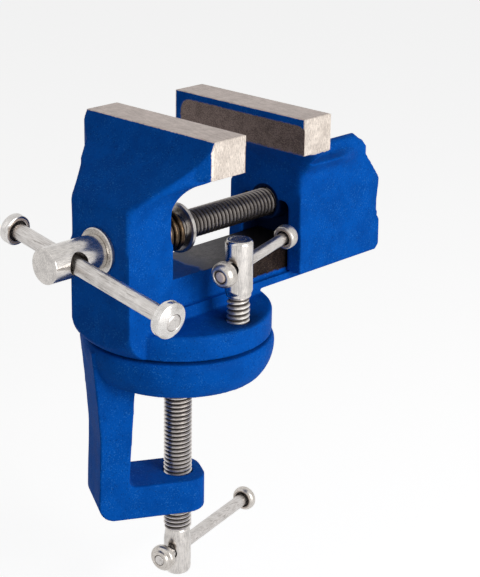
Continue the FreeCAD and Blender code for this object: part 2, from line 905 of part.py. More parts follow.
def make_ring_pin():
    """Cross pin through the screw, behind the spring ring."""
    radius = D["pin_radius"]
    edge = 0.2
    proud = 0.3
    length = (D["screw_radius"] * 2).value + proud * 2
    y = (D["ring_thick"] - D["ring_front"] + radius).value
    across = main_bar_direction()
    start = Vector(0, y, D["screw_high"].value) - Vector(*across) * (length / 2)
    return turned("ring_pin", [
        (0, 0),
        (radius - edge, 0),
        (radius, edge),
        (radius, length - edge),
        (radius - edge, length),
        (0, length),
    ], turned_placement(tuple(start), (0, 1, 0), across))


def make_return_spring():
    """Round-wire compression spring between the post and the spring ring."""
    body = new_body("return_spring")
    wire = D["wire_radius"]
    play = 0.1
    gap = D["post_back"] - D["ring_front"] - wire * 2 - play * 3
    section = new_sketch(body, "wire_outline", "XZ_Plane")
    draw_circle(section, D["coil_radius"], wire, wire)
    coil = body.newObject("PartDesign::AdditiveHelix", "coil")
    coil.Profile = section
    coil.ReferenceAxis = (origin_part(body, "Z_Axis"), [""])
    coil.Mode = "pitch-height-angle"
    coil.Pitch = D["coil_pitch"].value
    coil.setExpression("Pitch", D["coil_pitch"].formula)
    coil.Height = gap.value
    coil.setExpression("Height", gap.formula)
    doc.recompute()
    body.Placement = on_main_screw(-D["post_back"].value + play)
    return body


def lock_axis_placement(low):
    turn = radians(LOCK_BAR_TURN)
    position = (D["lock_right"].value, D["lock_back"].value, low.value)
    return turned_placement(position, (cos(turn), sin(turn), 0), (0, 0, 1))


def make_lock_tip():
    """Soft pad under the lock screw. It presses on the lower disc and doesn't turn."""
    edge = 0.4
    wide = D["tip_stem"] * 2
    return turned("lock_tip", [
        (0, 0),
        (wide - edge, 0),
        (wide, edge),
        (wide, D["tip_base"]),
        (D["tip_stem"], D["tip_base"]),
        (D["tip_stem"], D["tip_stem_top"]),
        (0, D["tip_stem_top"]),
    ], lock_axis_placement(D["lower_high"] + D["tip_gap"]))


def make_lock_screw():
    """Vertical plated screw that clamps the upper disc to the lower one."""
    play = 0.05
    low = D["lower_high"] + D["tip_gap"] + D["tip_base"] + play
    radius = D["lock_radius"]
    head = D["lock_head_radius"]
    head_low = D["lock_head_low"] - low
    top = D["lock_head_top"] - low
    bevel = 0.8
    socket = D["tip_stem"] + play
    socket_top = D["tip_stem_top"] - D["tip_base"] + play
    body = turned("lock_screw", [
        (socket, 0),
        (radius - bevel, 0),
        (radius, bevel),
        (radius, head_low),
        (head, head_low + bevel),
        (head, top - bevel),
        (head - bevel, top),
        (0, top),
        (0, socket_top),
        (socket, socket_top),
    ], lock_axis_placement(low))
    add_eye(body, D["lock_eye_high"] - low, D["lock_eye_radius"])
    return body


def make_clamp_pad():
    """Round pressure pad that swivels on the clamp screw's nose."""
    top = D["pad_thick"]
    bottom = -(D["pad_top"] + D["pad_thick"]).value
    rim = D["pad_radius"]
    bevel = D["pad_bevel"]
    roof = top - D["pad_roof"]
    return turned("clamp_pad", [
        (D["pad_socket"], 0),
        (rim - D["pad_shoulder"], 0),
        (rim, D["pad_rim"]),
        (rim, top - bevel),
        (rim - bevel, top),
        (0, top),
        (0, roof),
        (D["pad_socket"], roof),
    ], Placement(Vector(0, 0, bottom), Rotation()))


def make_clamp_screw():
    """Vertical clamp screw. Local Z starts at the lower end of its head."""
    radius = D["screw_radius"]
    head = D["clamp_head_radius"]
    head_top = D["clamp_head_low"] - D["clamp_head_top"]
    play = 0.08
    shank_top = D["clamp_head_low"] - D["pad_top"] - D["pad_thick"] - play
    nose_top = D["clamp_head_low"] - D["pad_top"] - D["pad_roof"] - play * 2
    nose = D["pad_socket"] - play
    bevel, taper, lead = 1.1, 2.2, 1.0
    neck = 0.85
    body = turned("clamp_screw", [
        (0, 0),
        (head - bevel, 0),
        (head, bevel),
        (head, head_top - taper),
        (radius - neck, head_top),
        (radius, head_top + neck),
        (radius, shank_top - lead),
        (radius - lead, shank_top),
        (nose, shank_top),
        (nose, nose_top),
        (0, nose_top),
    ], turned_placement((0, 0, -D["clamp_head_low"].value), clamp_bar_direction(), (0, 0, 1)))
    add_eye(body, D["clamp_head_low"] - D["clamp_eye_low"], D["clamp_eye_radius"])
    return body


def make_pivot_bolt():
    """Hexagon bolt from below: the axle that the upper disc swivels on."""
    body = new_body("pivot_bolt")
    head_low = D["pivot_head_low"]
    head_high = D["pivot_head_high"]
    overlap, lead = 1.0, 1.0
    end = D["flange_high"] + 3
    flat = D["pivot_head_flat"]
    corner = flat * CORNER_OF_FLAT
    hexagon = new_sketch(body, "head_outline", "XY_Plane")
    draw_loop(hexagon, [
        (corner, 0),
        (corner * 0.5, flat),
        (corner * -0.5, flat),
        (-corner, 0),
        (corner * -0.5, -flat),
        (corner * 0.5, -flat),
    ])
    pad_two_sides(body, "head", hexagon, head_high, -head_low)
    spin(body, "shank", [
        (0, head_high - overlap),
        (D["pivot_radius"], head_high - overlap),
        (D["pivot_radius"], end - lead),
        (D["pivot_radius"] - lead, end),
        (0, end),
    ])
    return body


def make_pivot_washer():
    play = 0.15
    rim = D["pivot_recess"] - 0.8
    outline = ring_outline(D["pivot_radius"] + play, rim, D["pivot_washer_thick"])
    lift = D["pivot_head_high"].value + 0.05
    return turned("pivot_washer", outline, Placement(Vector(0, 0, lift), Rotation()))


# ---------------------------------------------------------------- sliding bars and their knobs

def make_bar(label, radius, reach, centre, direction):
    """Round bar through a screw's eye, from reach[0] to reach[1] along its direction."""
    length = reach[1] - reach[0]
    start = Vector(*centre) + Vector(*direction) * reach[0]
    edge = 0.25
    side = Vector(0, 0, 1).cross(Vector(*direction))
    return turned(label, [
        (0, 0),
        (radius - edge, 0),
        (radius, edge),
        (radius, length - edge),
        (radius - edge, length),
        (0, length),
    ], turned_placement(tuple(start), tuple(side), direction))


def make_knob(label, bar_radius, long, centre, direction, end, side):
    """Knob pressed on a bar's end. side is +1 at the end that direction points to, else -1."""
    peened = 0.3
    outer = D[label + "_radius"]
    outward = Vector(*direction) * side
    inner_face = Vector(*centre) + Vector(*direction) * end - outward * (long.value - peened)
    across = Vector(0, 0, 1).cross(outward)
    return turned(label, [
        (bar_radius, 0),
        (outer * 0.85, 0),
        (outer, long * 0.15),
        (outer, long * 0.65),
        (outer * 0.86, long * 0.85),
        (outer * 0.55, long),
        (bar_radius, long),
    ], turned_placement(tuple(inner_face), tuple(across), tuple(outward)))


def make_bar_set(name, ends, reach, centre, direction):
    """A sliding bar with a knob at either end."""
    radius = D[name + "_bar_radius"]
    long = D[name + "_knob_long"]
    pieces = [make_bar(name + "_bar", radius, reach, centre, direction)]
    for word, end, side in zip(ends, reach, (-1, 1)):
        pieces.append(make_knob(f"{name}_knob_{word}", radius, long, centre, direction, end, side))
    return pieces


def make_all():
    pieces = [make_clamp_frame(), make_vise_body(), make_moving_jaw()]
    pieces += [make_main_screw(), make_thrust_washer(), make_return_spring()]
    pieces += [make_spring_ring(), make_ring_pin()]
    pieces += [make_lock_tip(), make_lock_screw(), make_clamp_pad(), make_clamp_screw()]
    pieces += [make_pivot_bolt(), make_pivot_washer()]
    main_eye = (0, -D["main_eye_from_axis"].value, D["screw_high"].value)
    lock_eye = (D["lock_right"].value, D["lock_back"].value, D["lock_eye_high"].value)
    clamp_eye = (0, 0, -D["clamp_eye_low"].value)
    pieces += make_bar_set("main", ("left", "right"), MAIN_BAR_REACH, main_eye,
                           main_bar_direction())
    pieces += make_bar_set("lock", ("front", "back"), LOCK_BAR_REACH, lock_eye,
                           lock_bar_direction())
    pieces += make_bar_set("clamp", ("front", "back"), CLAMP_BAR_REACH, clamp_eye,
                           clamp_bar_direction())
    return pieces


def check(pieces):
    doc.recompute()
    for item in doc.Objects:
        if "Invalid" in item.State or "Error" in item.State:
            raise RuntimeError(f"{item.Name} failed: {item.State}")
    for piece in pieces:
        shape = piece.Shape
        if shape.isNull() or not shape.isValid() or len(shape.Solids) != 1:
            raise RuntimeError(f"{piece.Label} isn't one valid solid")


def export(pieces):
    os.makedirs("parts", exist_ok=True)
    for piece in pieces:
        piece.Shape.exportStep(f"parts/{piece.Label}.step")
        box = piece.Shape.BoundBox
        volume = piece.Shape.Volume / 1000
        print(f"{piece.Label:16s} {box.XLength:6.1f} {box.YLength:6.1f} {box.ZLength:6.1f} mm  {volume:7.2f} cm3")


pieces = make_all()
check(pieces)
export(pieces)
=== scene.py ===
# %% [markdown]
# # A small table vise, dressed for its portrait
# The frame brings every solid of the vise at its real size, on the body that it moves with. This
# script gives them their finish: sand-cast iron under blue paint, machined jaw faces, cut threads,
# a dark spring and bright plated handles. All lengths are in metres.

# %% Load the frame
from math import cos, pi, radians, sin

import bmesh
import bpy
from mathutils import Matrix, Vector


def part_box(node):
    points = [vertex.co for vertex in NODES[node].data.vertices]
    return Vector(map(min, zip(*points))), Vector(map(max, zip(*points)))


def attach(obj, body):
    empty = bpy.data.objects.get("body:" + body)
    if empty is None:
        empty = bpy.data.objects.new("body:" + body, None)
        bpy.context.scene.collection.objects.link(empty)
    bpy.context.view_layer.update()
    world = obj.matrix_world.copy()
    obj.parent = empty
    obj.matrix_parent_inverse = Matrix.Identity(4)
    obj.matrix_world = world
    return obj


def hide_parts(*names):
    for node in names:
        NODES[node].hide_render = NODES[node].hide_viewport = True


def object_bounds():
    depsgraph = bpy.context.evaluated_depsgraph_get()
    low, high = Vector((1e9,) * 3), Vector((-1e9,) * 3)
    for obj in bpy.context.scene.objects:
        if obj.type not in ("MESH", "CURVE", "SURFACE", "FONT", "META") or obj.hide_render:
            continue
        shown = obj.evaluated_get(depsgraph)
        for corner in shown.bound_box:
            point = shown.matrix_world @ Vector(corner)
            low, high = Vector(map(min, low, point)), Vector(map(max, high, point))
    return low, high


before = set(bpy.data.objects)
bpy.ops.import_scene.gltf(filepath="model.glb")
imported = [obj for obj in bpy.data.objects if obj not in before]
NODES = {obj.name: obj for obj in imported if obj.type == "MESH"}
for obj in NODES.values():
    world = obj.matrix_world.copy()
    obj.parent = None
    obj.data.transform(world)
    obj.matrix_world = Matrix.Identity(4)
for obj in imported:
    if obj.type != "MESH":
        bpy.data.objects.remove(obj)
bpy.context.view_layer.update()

MM = 0.001

# %% [markdown]
# ## Where the camera stands
# A long lens looks down a little from the right front corner. The picture's middle isn't on the
# lens's axis. Turning the camera would change the perspective, so the lens is shifted instead, as
# on a view camera.

# %% The camera
CAMERA_PLACE = Vector((365.33, -355.39, 214.57)) * MM
CAMERA_AZIMUTH = radians(45.52)
CAMERA_ELEVATION = radians(17.1)
CAMERA_ROLL = radians(0.3)
PICTURE = (480, 577)
LENS_AXIS = (186.0, 201.6)
FOCAL_PIXELS = 1618.7
SENSOR = 36.0


def make_camera():
    back = Vector((sin(CAMERA_AZIMUTH) * cos(CAMERA_ELEVATION),
                   -cos(CAMERA_AZIMUTH) * cos(CAMERA_ELEVATION), sin(CAMERA_ELEVATION)))
    level = Vector((cos(CAMERA_AZIMUTH), sin(CAMERA_AZIMUTH), 0))
    right = level * cos(CAMERA_ROLL) + back.cross(level) * sin(CAMERA_ROLL)
    up = back.cross(right)
    lens = bpy.data.cameras.new("camera")
    long_side = max(PICTURE)
    lens.sensor_width = SENSOR
    lens.lens = FOCAL_PIXELS * SENSOR / long_side
    lens.shift_x = (PICTURE[0] / 2 - LENS_AXIS[0]) / long_side
    lens.shift_y = (LENS_AXIS[1] - PICTURE[1] / 2) / long_side
    lens.clip_start, lens.clip_end = 0.01, 20.0
    camera = bpy.data.objects.new("camera", lens)
    turn = Matrix((right, up, back)).transposed().to_4x4()
    camera.matrix_world = Matrix.Translation(CAMERA_PLACE) @ turn
    bpy.context.scene.collection.objects.link(camera)
    bpy.context.scene.camera = camera
    return camera


camera = make_camera()
print("camera lens", round(camera.data.lens, 1), "mm")

# %% [markdown]
# ## Writing materials as sums
# A material is a net of nodes, and most of it is arithmetic. `Flow` wraps a socket so that Python's
# own operators add the Math nodes, and `Net.node` makes any other node: its settings go in first,
# then its sockets' values or links.

# %% A socket that can be added and multiplied
class Flow:
    """A value on its way out of a node."""

    def __init__(self, net, socket):
        self.net = net
        self.socket = socket

    def __add__(self, other):
        return self.net.math("ADD", self, other)

    __radd__ = __add__

    def __sub__(self, other):
        return self.net.math("SUBTRACT", self, other)

    def __rsub__(self, other):
        return self.net.math("SUBTRACT", other, self)

    def __mul__(self, other):
        return self.net.math("MULTIPLY", self, other)

    __rmul__ = __mul__

    def __truediv__(self, other):
        return self.net.math("DIVIDE", self, other)

    def __pow__(self, other):
        return self.net.math("POWER", self, other)

    def __abs__(self):
        return self.net.math("ABSOLUTE", self)


# %% A net of nodes
class Net:
    """Adds nodes to a shader or geometry tree."""

    def __init__(self, tree):
        self.tree = tree

    def node(self, kind, settings=None, sockets=None, out=0):
        node = self.tree.nodes.new(kind)
        for name, value in (settings or {}).items():
            if name == "stops":
                self.set_stops(node.color_ramp, value)
            else:
                setattr(node, name, value)
        for key, value in (sockets or {}).items():
            if isinstance(value, Flow):
                self.tree.links.new(value.socket, node.inputs[key])
            else:
                node.inputs[key].default_value = value
        return Flow(self, node.outputs[out])

    @staticmethod
    def set_stops(ramp, stops):
        while len(ramp.elements) < len(stops):
            ramp.elements.new(1.0)
        for element, (place, colour) in zip(ramp.elements, stops):
            element.position = place
            element.color = (*colour, 1.0)

    def math(self, operation, *values):
        return self.node("ShaderNodeMath", {"operation": operation}, dict(enumerate(values)))


# %% The nodes that every finish uses
class Finish(Net):
    """A material in the making. Its patterns read Object coordinates: the frame's metres."""

    def __init__(self, name):
        self.material = bpy.data.materials.new(name)
        self.material.use_nodes = True
        super().__init__(self.material.node_tree)
        self.shader = self.tree.nodes["Principled BSDF"]
        self.place = self.node("ShaderNodeTexCoord", out="Object")
        self.x, self.y, self.z = self.split(self.place)

    def split(self, vector):
        first = self.node("ShaderNodeSeparateXYZ", sockets={0: vector})
        node = first.socket.node
        return [Flow(self, socket) for socket in node.outputs]

    def stretched(self, stretch, turn=(0.0, 0.0, 0.0)):
        """The place in turned axes, where a pattern is drawn out by the factors in stretch."""
        sockets = {"Vector": self.place, "Rotation": turn, "Scale": stretch}
        return self.node("ShaderNodeMapping", {"vector_type": "TEXTURE"}, sockets)

    def noise(self, size, detail=3.0, rough=0.55, at=None):
        """Noise between about 0.3 and 0.7, with grains of that size in metres."""
        sockets = {"Vector": at or self.place, "Scale": 1.0 / size, "Detail": detail,
                   "Roughness": rough}
        return self.node("ShaderNodeTexNoise", {"noise_dimensions": "3D"}, sockets)

    def specks(self, size):
        """Distance to the nearest of many scattered points, for specks and pits."""
        sockets = {"Vector": self.place, "Scale": 1.0 / size, "Randomness": 1.0}
        return self.node("ShaderNodeTexVoronoi", {"feature": "F1"}, sockets)

    def grime(self):
        """What a turned piece's mesh says of its skin: 0 clean, 0.3 dull, 1 painted dark as shade.
        """
        return self.node("ShaderNodeAttribute", {"attribute_name": "grime"}, out="Fac")

    def step(self, value, low, high):
        """0 below low, 1 above high, smooth between. low may be the larger."""
        settings = {"interpolation_type": "SMOOTHSTEP"}
        if low < high:
            return self.node("ShaderNodeMapRange", settings, {0: value, 1: low, 2: high})
        falling = {0: value, 1: high, 2: low, 3: 1.0, 4: 0.0}
        return self.node("ShaderNodeMapRange", settings, falling)

    def colours(self, factor, first, second):
        sockets = {"Factor": factor, 6: self.colour(first), 7: self.colour(second)}
        return self.node("ShaderNodeMix", {"data_type": "RGBA"}, sockets, out=2)

    @staticmethod
    def colour(value):
        return value if isinstance(value, Flow) else (*value, 1.0)

    def values(self, factor, first, second):
        return self.node("ShaderNodeMix", {"data_type": "FLOAT"}, {0: factor, 2: first, 3: second})

    def bump(self, height, distance, normal=None):
        sockets = {"Height": height, "Distance": distance, "Strength": 1.0}
        if normal is not None:
            sockets["Normal"] = normal
        return self.node("ShaderNodeBump", sockets=sockets)

    def set(self, **sockets):
        """Values or links for the shader's sockets, with _ for a space in a name."""
        for name, value in sockets.items():
            socket = self.shader.inputs[name.replace("_", " ")]
            if isinstance(value, Flow):
                self.tree.links.new(value.socket, socket)
            else:
                socket.default_value = value
        return self.material


def rgb(red, green, blue):
    """A colour as a screen shows it, 0 to 255, turned into the light that the shader needs."""
    channels = [value / 255 for value in (red, green, blue)]
    return tuple(c / 12.92 if c <= 0.04045 else ((c + 0.055) / 1.055) ** 2.4 for c in channels)


# %% [markdown]
# ## Paint on cast iron, with machined faces
# The castings come out of sand moulds, get one coat of satin blue, and are then milled where the
# work goes. Two materials on separate faces would meet in a line that follows the mesh. So one
# material holds both finishes, and a mask says where the cutter has been. The mask is a sum of
# flat regions of the casting, with a ragged edge where paint flakes at the cut.

# %% The blue coat
PAINT = rgb(2, 86, 182)
PAINT_DEEP = rgb(1, 77, 167)
PAINT_DUSTY = rgb(48, 124, 206)
PAINT_SOOTY = rgb(1, 56, 130)
PAINT_PIT = rgb(1, 44, 104)


def blue_coat(finish):
    """Colour, roughness and height of the paint."""
    cloud = finish.step(finish.noise(9 * MM, 3.0), 0.35, 0.65)
    grain = finish.noise(0.6 * MM, 4.0, 0.65)
    colour = finish.colours(cloud, PAINT_DEEP, PAINT)
    dusty = finish.step(finish.noise(0.5 * MM, 2.0), 0.55, 0.68)
    dusty = dusty * (finish.step(finish.noise(6 * MM, 4.0), 0.40, 0.62) * 0.75 + 0.25)
    colour = finish.colours(dusty * 0.6, colour, PAINT_DUSTY)
    sooty = finish.step(finish.noise(1.1 * MM, 3.0, 0.6), 0.56, 0.70)
    colour = finish.colours(sooty * 0.35, colour, PAINT_SOOTY)
    pit = finish.step(finish.specks(1.5 * MM), 0.22, 0.06)
    colour = finish.colours(pit * 0.5, colour, PAINT_PIT)
    rough = 0.52 + cloud * 0.06 + grain * 0.14
    height = grain * 0.75 + finish.noise(3.2 * MM, 3.0) * 0.9 - pit * 0.4
    return colour, rough, height


# %% Bare metal from the cutter
BARE = rgb(190, 178, 172)
BARE_DARK = rgb(158, 147, 141)
BARE_PIT = rgb(104, 92, 84)


def cut_metal(finish, stretch, light=BARE, dark=BARE_DARK):
    """Colour, roughness and height of a milled or ground face. stretch draws out the lines."""
    lines = finish.noise(0.3 * MM, 4.0, 0.7, at=finish.stretched(stretch))
    patches = finish.noise(4 * MM, 4.0)
    tone = finish.step(lines * 0.75 + patches * 0.25, 0.38, 0.62)
    pit = finish.step(finish.specks(0.9 * MM), 0.26, 0.08)
    colour = finish.colours(tone, dark, light)
    colour = finish.colours(pit * 0.45, colour, BARE_PIT)
    return colour, 0.42 + lines * 0.2, lines * 0.5 - pit * 0.4


# %% Regions of a casting
def above(finish, value, limit, soft=0.06 * MM):
    return finish.step(value, limit - soft, limit + soft)


def below(finish, value, limit, soft=0.06 * MM):
    return finish.step(value, limit + soft, limit - soft)


def away(across, along):
    """How far a point is from a line, from its two distances across that line."""
    return (across * across + along * along) ** 0.5


# %% A painted casting with bare regions
CASTING_SHADE = rgb(7, 8, 16)
PAINT_THICK = 0.6


def painted_casting(name, regions, painted_shade=None):
    """Each region is a function that takes the finish and gives (mask, colour, roughness,
    height) of a bare place. painted_shade takes it too, and gives the mask where shade is painted
    in."""
    finish = Finish(name)
    colour, rough, height = blue_coat(finish)
    # Painted shade: the paint is darkened where that mask says.
    if painted_shade is not None:
        colour = finish.colours(painted_shade(finish) * 0.9, colour, CASTING_SHADE)
    metal = None
    for region in regions:
        mask, bare_colour, bare_rough, bare_height = region(finish)
        colour = finish.colours(mask, colour, bare_colour)
        rough = finish.values(mask, rough, bare_rough)
        height = finish.values(mask, height, bare_height - PAINT_THICK)
        metal = mask if metal is None else finish.math("MAXIMUM", metal, mask)
    finish.set(Base_Color=colour, Roughness=rough, Specular_IOR_Level=0.03,
               Normal=finish.bump(height, distance=0.09 * MM))
    if metal is not None:
        finish.set(Metallic=metal * 0.94)
    return finish.material


# %% [markdown]
# The jaw heads are milled on top and at their ends, and ground where they grip. The ground patch
# stops short of the head's edges, so blue stays round it. On the rail the cutter leaves the top
# bare, and the sides stay raw and dark.

# %% Sizes that the masks need
HEAD_TOP = 86.3 * MM
HEAD_LOW = 73.7 * MM
HEAD_END = 30.0 * MM
RAIL_TOP = 36.0 * MM
RAIL_SIDE = 10.0 * MM
OPENING = 27.4 * MM
SKIM = 0.35 * MM
print("jaw heads", round((HEAD_TOP - HEAD_LOW) / MM, 1), "mm high,",
      round(OPENING / MM, 1), "mm apart")


def ragged(finish, value, amount, size=0.9 * MM):
    """The value made uneven, by about a fifth of the amount to either side."""
    return value + (finish.noise(size, 4.0, 0.7) - 0.5) * amount


# %% The jaw heads
GRIP_LEFT = -27.4 * MM
GRIP_RIGHT = 31.5 * MM
GRIP_TOP = HEAD_TOP - 2.5 * MM
GRIP_CORNER = 4.5 * MM


def head_top(finish):
    mask = above(finish, ragged(finish, finish.z, 0.5 * MM), HEAD_TOP - SKIM)
    return (mask, *cut_metal(finish, (9.0, 1.0, 1.0)))


def head_ends(finish):
    mask = above(finish, ragged(finish, abs(finish.x), 0.5 * MM), HEAD_END - SKIM)
    mask = mask * above(finish, ragged(finish, finish.z, 2.2 * MM, 3 * MM), HEAD_LOW - 0.2 * MM)
    # Painted light: the ends get a lighter metal than the top, as lit sides.
    return (mask, *cut_metal(finish, (1.0, 1.0, 6.0), rgb(230, 220, 210), rgb(184, 173, 164)))


def grip(finish, face, side):
    """The ground patch on the face at Y = face, on the side where the other jaw is. Its upper
    corners are round, and it runs out at the head's lower edge and right end."""
    mask = above(finish, (finish.y - face) * side, -0.3 * MM)
    from_middle = abs(finish.x - (GRIP_LEFT + GRIP_RIGHT) / 2)
    half = (GRIP_RIGHT - GRIP_LEFT) / 2
    across = finish.math("MAXIMUM", from_middle - half + GRIP_CORNER, 0.0)
    rise = finish.math("MAXIMUM", finish.z - GRIP_TOP + GRIP_CORNER, 0.0)
    beyond = away(across, rise) - GRIP_CORNER
    mask = mask * below(finish, ragged(finish, beyond, 1.1 * MM), 0.0, 0.3 * MM)
    mask = mask * above(finish, ragged(finish, finish.z, 2.4 * MM), HEAD_LOW + 0.3 * MM, 0.6 * MM)
    return (mask, *cut_metal(finish, (1.5, 1.0, 1.0), rgb(122, 107, 102), rgb(78, 67, 64)))


# %% The guide rail
RAIL_STAIN = rgb(22, 38, 74)
RAIL_SHADE = rgb(22, 21, 24)


def rail_top(finish):
    """Bare from the post backwards and stained blue near it. Its metal is painted dark, and near
    black towards the far end, as painted shade between the jaws.
    """
    middle = below(finish, abs(finish.x), RAIL_SIDE + 0.3 * MM)
    level = above(finish, finish.z, RAIL_TOP - SKIM) * below(finish, finish.z, RAIL_TOP + 1 * MM)
    behind = above(finish, ragged(finish, finish.y, 5 * MM, 4 * MM), 2.0 * MM, 1.2 * MM)
    colour, rough, height = cut_metal(finish, (1.0, 8.0, 1.0), rgb(94, 90, 92), rgb(46, 44, 48))
    stained = finish.step(ragged(finish, finish.y, 9 * MM, 5 * MM), 14.0 * MM, 0.0)
    colour = finish.colours(stained * 0.8, colour, RAIL_STAIN)
    # Painted shadow of the moving jaw: near black towards the far end.
    painted_shade = finish.step(ragged(finish, finish.y, 8 * MM, 5 * MM), 14.0 * MM, 40.0 * MM)
    colour = finish.colours(painted_shade * 0.85, colour, RAIL_SHADE)
    return middle * level * behind, colour, rough, height


def rail_sides(finish):
    side = below(finish, abs(abs(finish.x) - RAIL_SIDE), 0.45 * MM)
    tall = above(finish, ragged(finish, finish.z, 1.6 * MM, 2 * MM), 27.2 * MM, 0.4 * MM)
    tall = tall * below(finish, finish.z, RAIL_TOP - 0.3 * MM)
    behind = above(finish, ragged(finish, finish.y, 4 * MM, 3 * MM), 12.0 * MM, 1.5 * MM)
    rust = cut_metal(finish, (1.0, 2.0, 1.0), rgb(66, 54, 48), rgb(20, 16, 17))
    return (side * tall * behind, *rust)


# %% [markdown]
# Shade is painted into the castings where the vise is closed in: round the lock screw on the
# disc, into the mouth under the moving jaw and round its nut thread. Each such place is a mask
# too, but it only darkens the paint.

# %% Where shade is painted in
DISC_TOP = 22.1 * MM
LOCK_RIGHT = 24.65 * MM
LOCK_BACK = 3.3 * MM
MAIN_HIGH = 49.0 * MM
MOUTH_FACE = 41.8 * MM
MOUTH_HALF = 11.0 * MM
MOUTH_TOP = 51.0 * MM
NUT_BOSS = 6.2 * MM
SPREAD = 0.3 * MM


def disc_corner(finish):
    """Painted shade on the disc's top between the post and the lock screw, and at the rail's foot.
    """
    from_lock = away(finish.x - LOCK_RIGHT, finish.y - LOCK_BACK)
    near = finish.step(ragged(finish, from_lock, 5 * MM, 3 * MM), 14.0 * MM, 4.0 * MM)
    level = above(finish, finish.z, DISC_TOP - 0.7 * MM, 0.5 * MM)
    level = level * below(finish, finish.z, DISC_TOP + 1.2 * MM, 1.0 * MM)
    return near * level * 0.75


def jaw_mouth(finish):
    """Painted shade inside the mouth round the rail, and on the boss round the screw."""
    inside = below(finish, abs(finish.x), MOUTH_HALF + SPREAD, 0.3 * MM)
    inside = inside * below(finish, finish.z, MOUTH_TOP + SPREAD, 0.3 * MM)
    inside = inside * finish.step(finish.y, MOUTH_FACE - 0.2 * MM, MOUTH_FACE + 1.7 * MM)
    from_screw = away(finish.x, finish.z - MAIN_HIGH)
    boss = below(finish, ragged(finish, from_screw, 0.5 * MM), NUT_BOSS + SPREAD, 0.3 * MM)
    boss = boss * finish.step(finish.y, MOUTH_FACE - 0.8 * MM, MOUTH_FACE - 0.3 * MM)
    return finish.math("MAXIMUM", inside, boss)


# %% The three castings' materials
MATERIALS = {
    "vise_body": painted_casting("blue_vise_body", [
        head_top, head_ends, lambda finish: grip(finish, 0.0, 1), rail_top, rail_sides,
    ], disc_corner),
    "moving_jaw": painted_casting("blue_moving_jaw", [
        head_top, head_ends, lambda finish: grip(finish, OPENING, -1),
    ], jaw_mouth),
    "clamp_frame": painted_casting("blue_clamp_frame", []),
}
print("casting materials:", sorted(MATERIALS))

# %% [markdown]
# ## Bright steel and dark thread
# The handles and heads are plated and scuffed, so they are metal with faint lines along the way
# they were drawn. A thread holds grease and dirt in its roots, while its crests stay bright. How
# far a point is from the screw's axis tells the two apart, so each screw's material knows its
# axis. A turned piece says in an attribute of its mesh, named grime, where it is dull
# and where it is painted dark as shade: in a bore, an open groove and on a knob's inner face.

# %% Plated steel
PLATING_PIT = rgb(120, 112, 104)
PLATING_STAIN = rgb(120, 113, 108)
PLATING_WORN = rgb(104, 97, 92)
PLATING_DULL = rgb(226, 207, 192)
RECESS_SHADE = rgb(24, 19, 17)


def plated_steel(name, light, dark, rough, stretch=(1.0, 1.0, 1.0), turn=(0.0, 0.0, 0.0),
                 dents=0.02 * MM, streaks=0.5, hammered=0.0):
    """Dull plating with a few stains, and with fine lines drawn out by stretch. streaks says how
    dark the worn lines are, hammered how deep the flats are that a peening hammer leaves."""
    finish = Finish(name)
    lines = finish.noise(0.3 * MM, 4.0, 0.6, at=finish.stretched(stretch, turn))
    clouds = finish.noise(3 * MM, 3.0)
    tone = finish.step(lines * 0.7 + clouds * 0.3, 0.34, 0.64)
    pit = finish.step(finish.specks(1.3 * MM), 0.12, 0.03)
    colour = finish.colours(tone, dark, light)
    colour = finish.colours(pit * 0.35, colour, PLATING_PIT)
    stain = finish.step(finish.noise(7 * MM, 4.0, 0.6), 0.50, 0.72)
    colour = finish.colours(stain * 0.30, colour, PLATING_STAIN)
    streak = finish.noise(0.7 * MM, 3.0, 0.6, at=finish.stretched(stretch, turn))
    colour = finish.colours(finish.step(streak, 0.58, 0.68) * streaks, colour, PLATING_WORN)
    # Painted shade: where grime is high, in bores and grooves, the plating is painted near black.
    grime = finish.grime()
    dull = finish.step(grime, 0.0, 0.3)
    dull_and_shaded = finish.step(grime, 0.45, 1.0)
    colour = finish.colours(dull, colour, PLATING_DULL)
    colour = finish.colours(dull_and_shaded * 0.95, colour, RECESS_SHADE)
    normal = finish.bump(lines * 0.35 + clouds * 0.5 - pit * 0.4, dents)
    if hammered:
        normal = finish.bump(finish.specks(2.6 * MM), hammered, normal)
    return finish.set(Base_Color=colour, Roughness=rough + lines * 0.14 + dull * 0.2,
                      Metallic=1.0 - dull * 0.4 - dull_and_shaded * 0.5, Normal=normal)


# %% Mix of a plated head and its thread
HEAD_LIGHT = rgb(218, 213, 208)
HEAD_DARK = rgb(178, 174, 171)


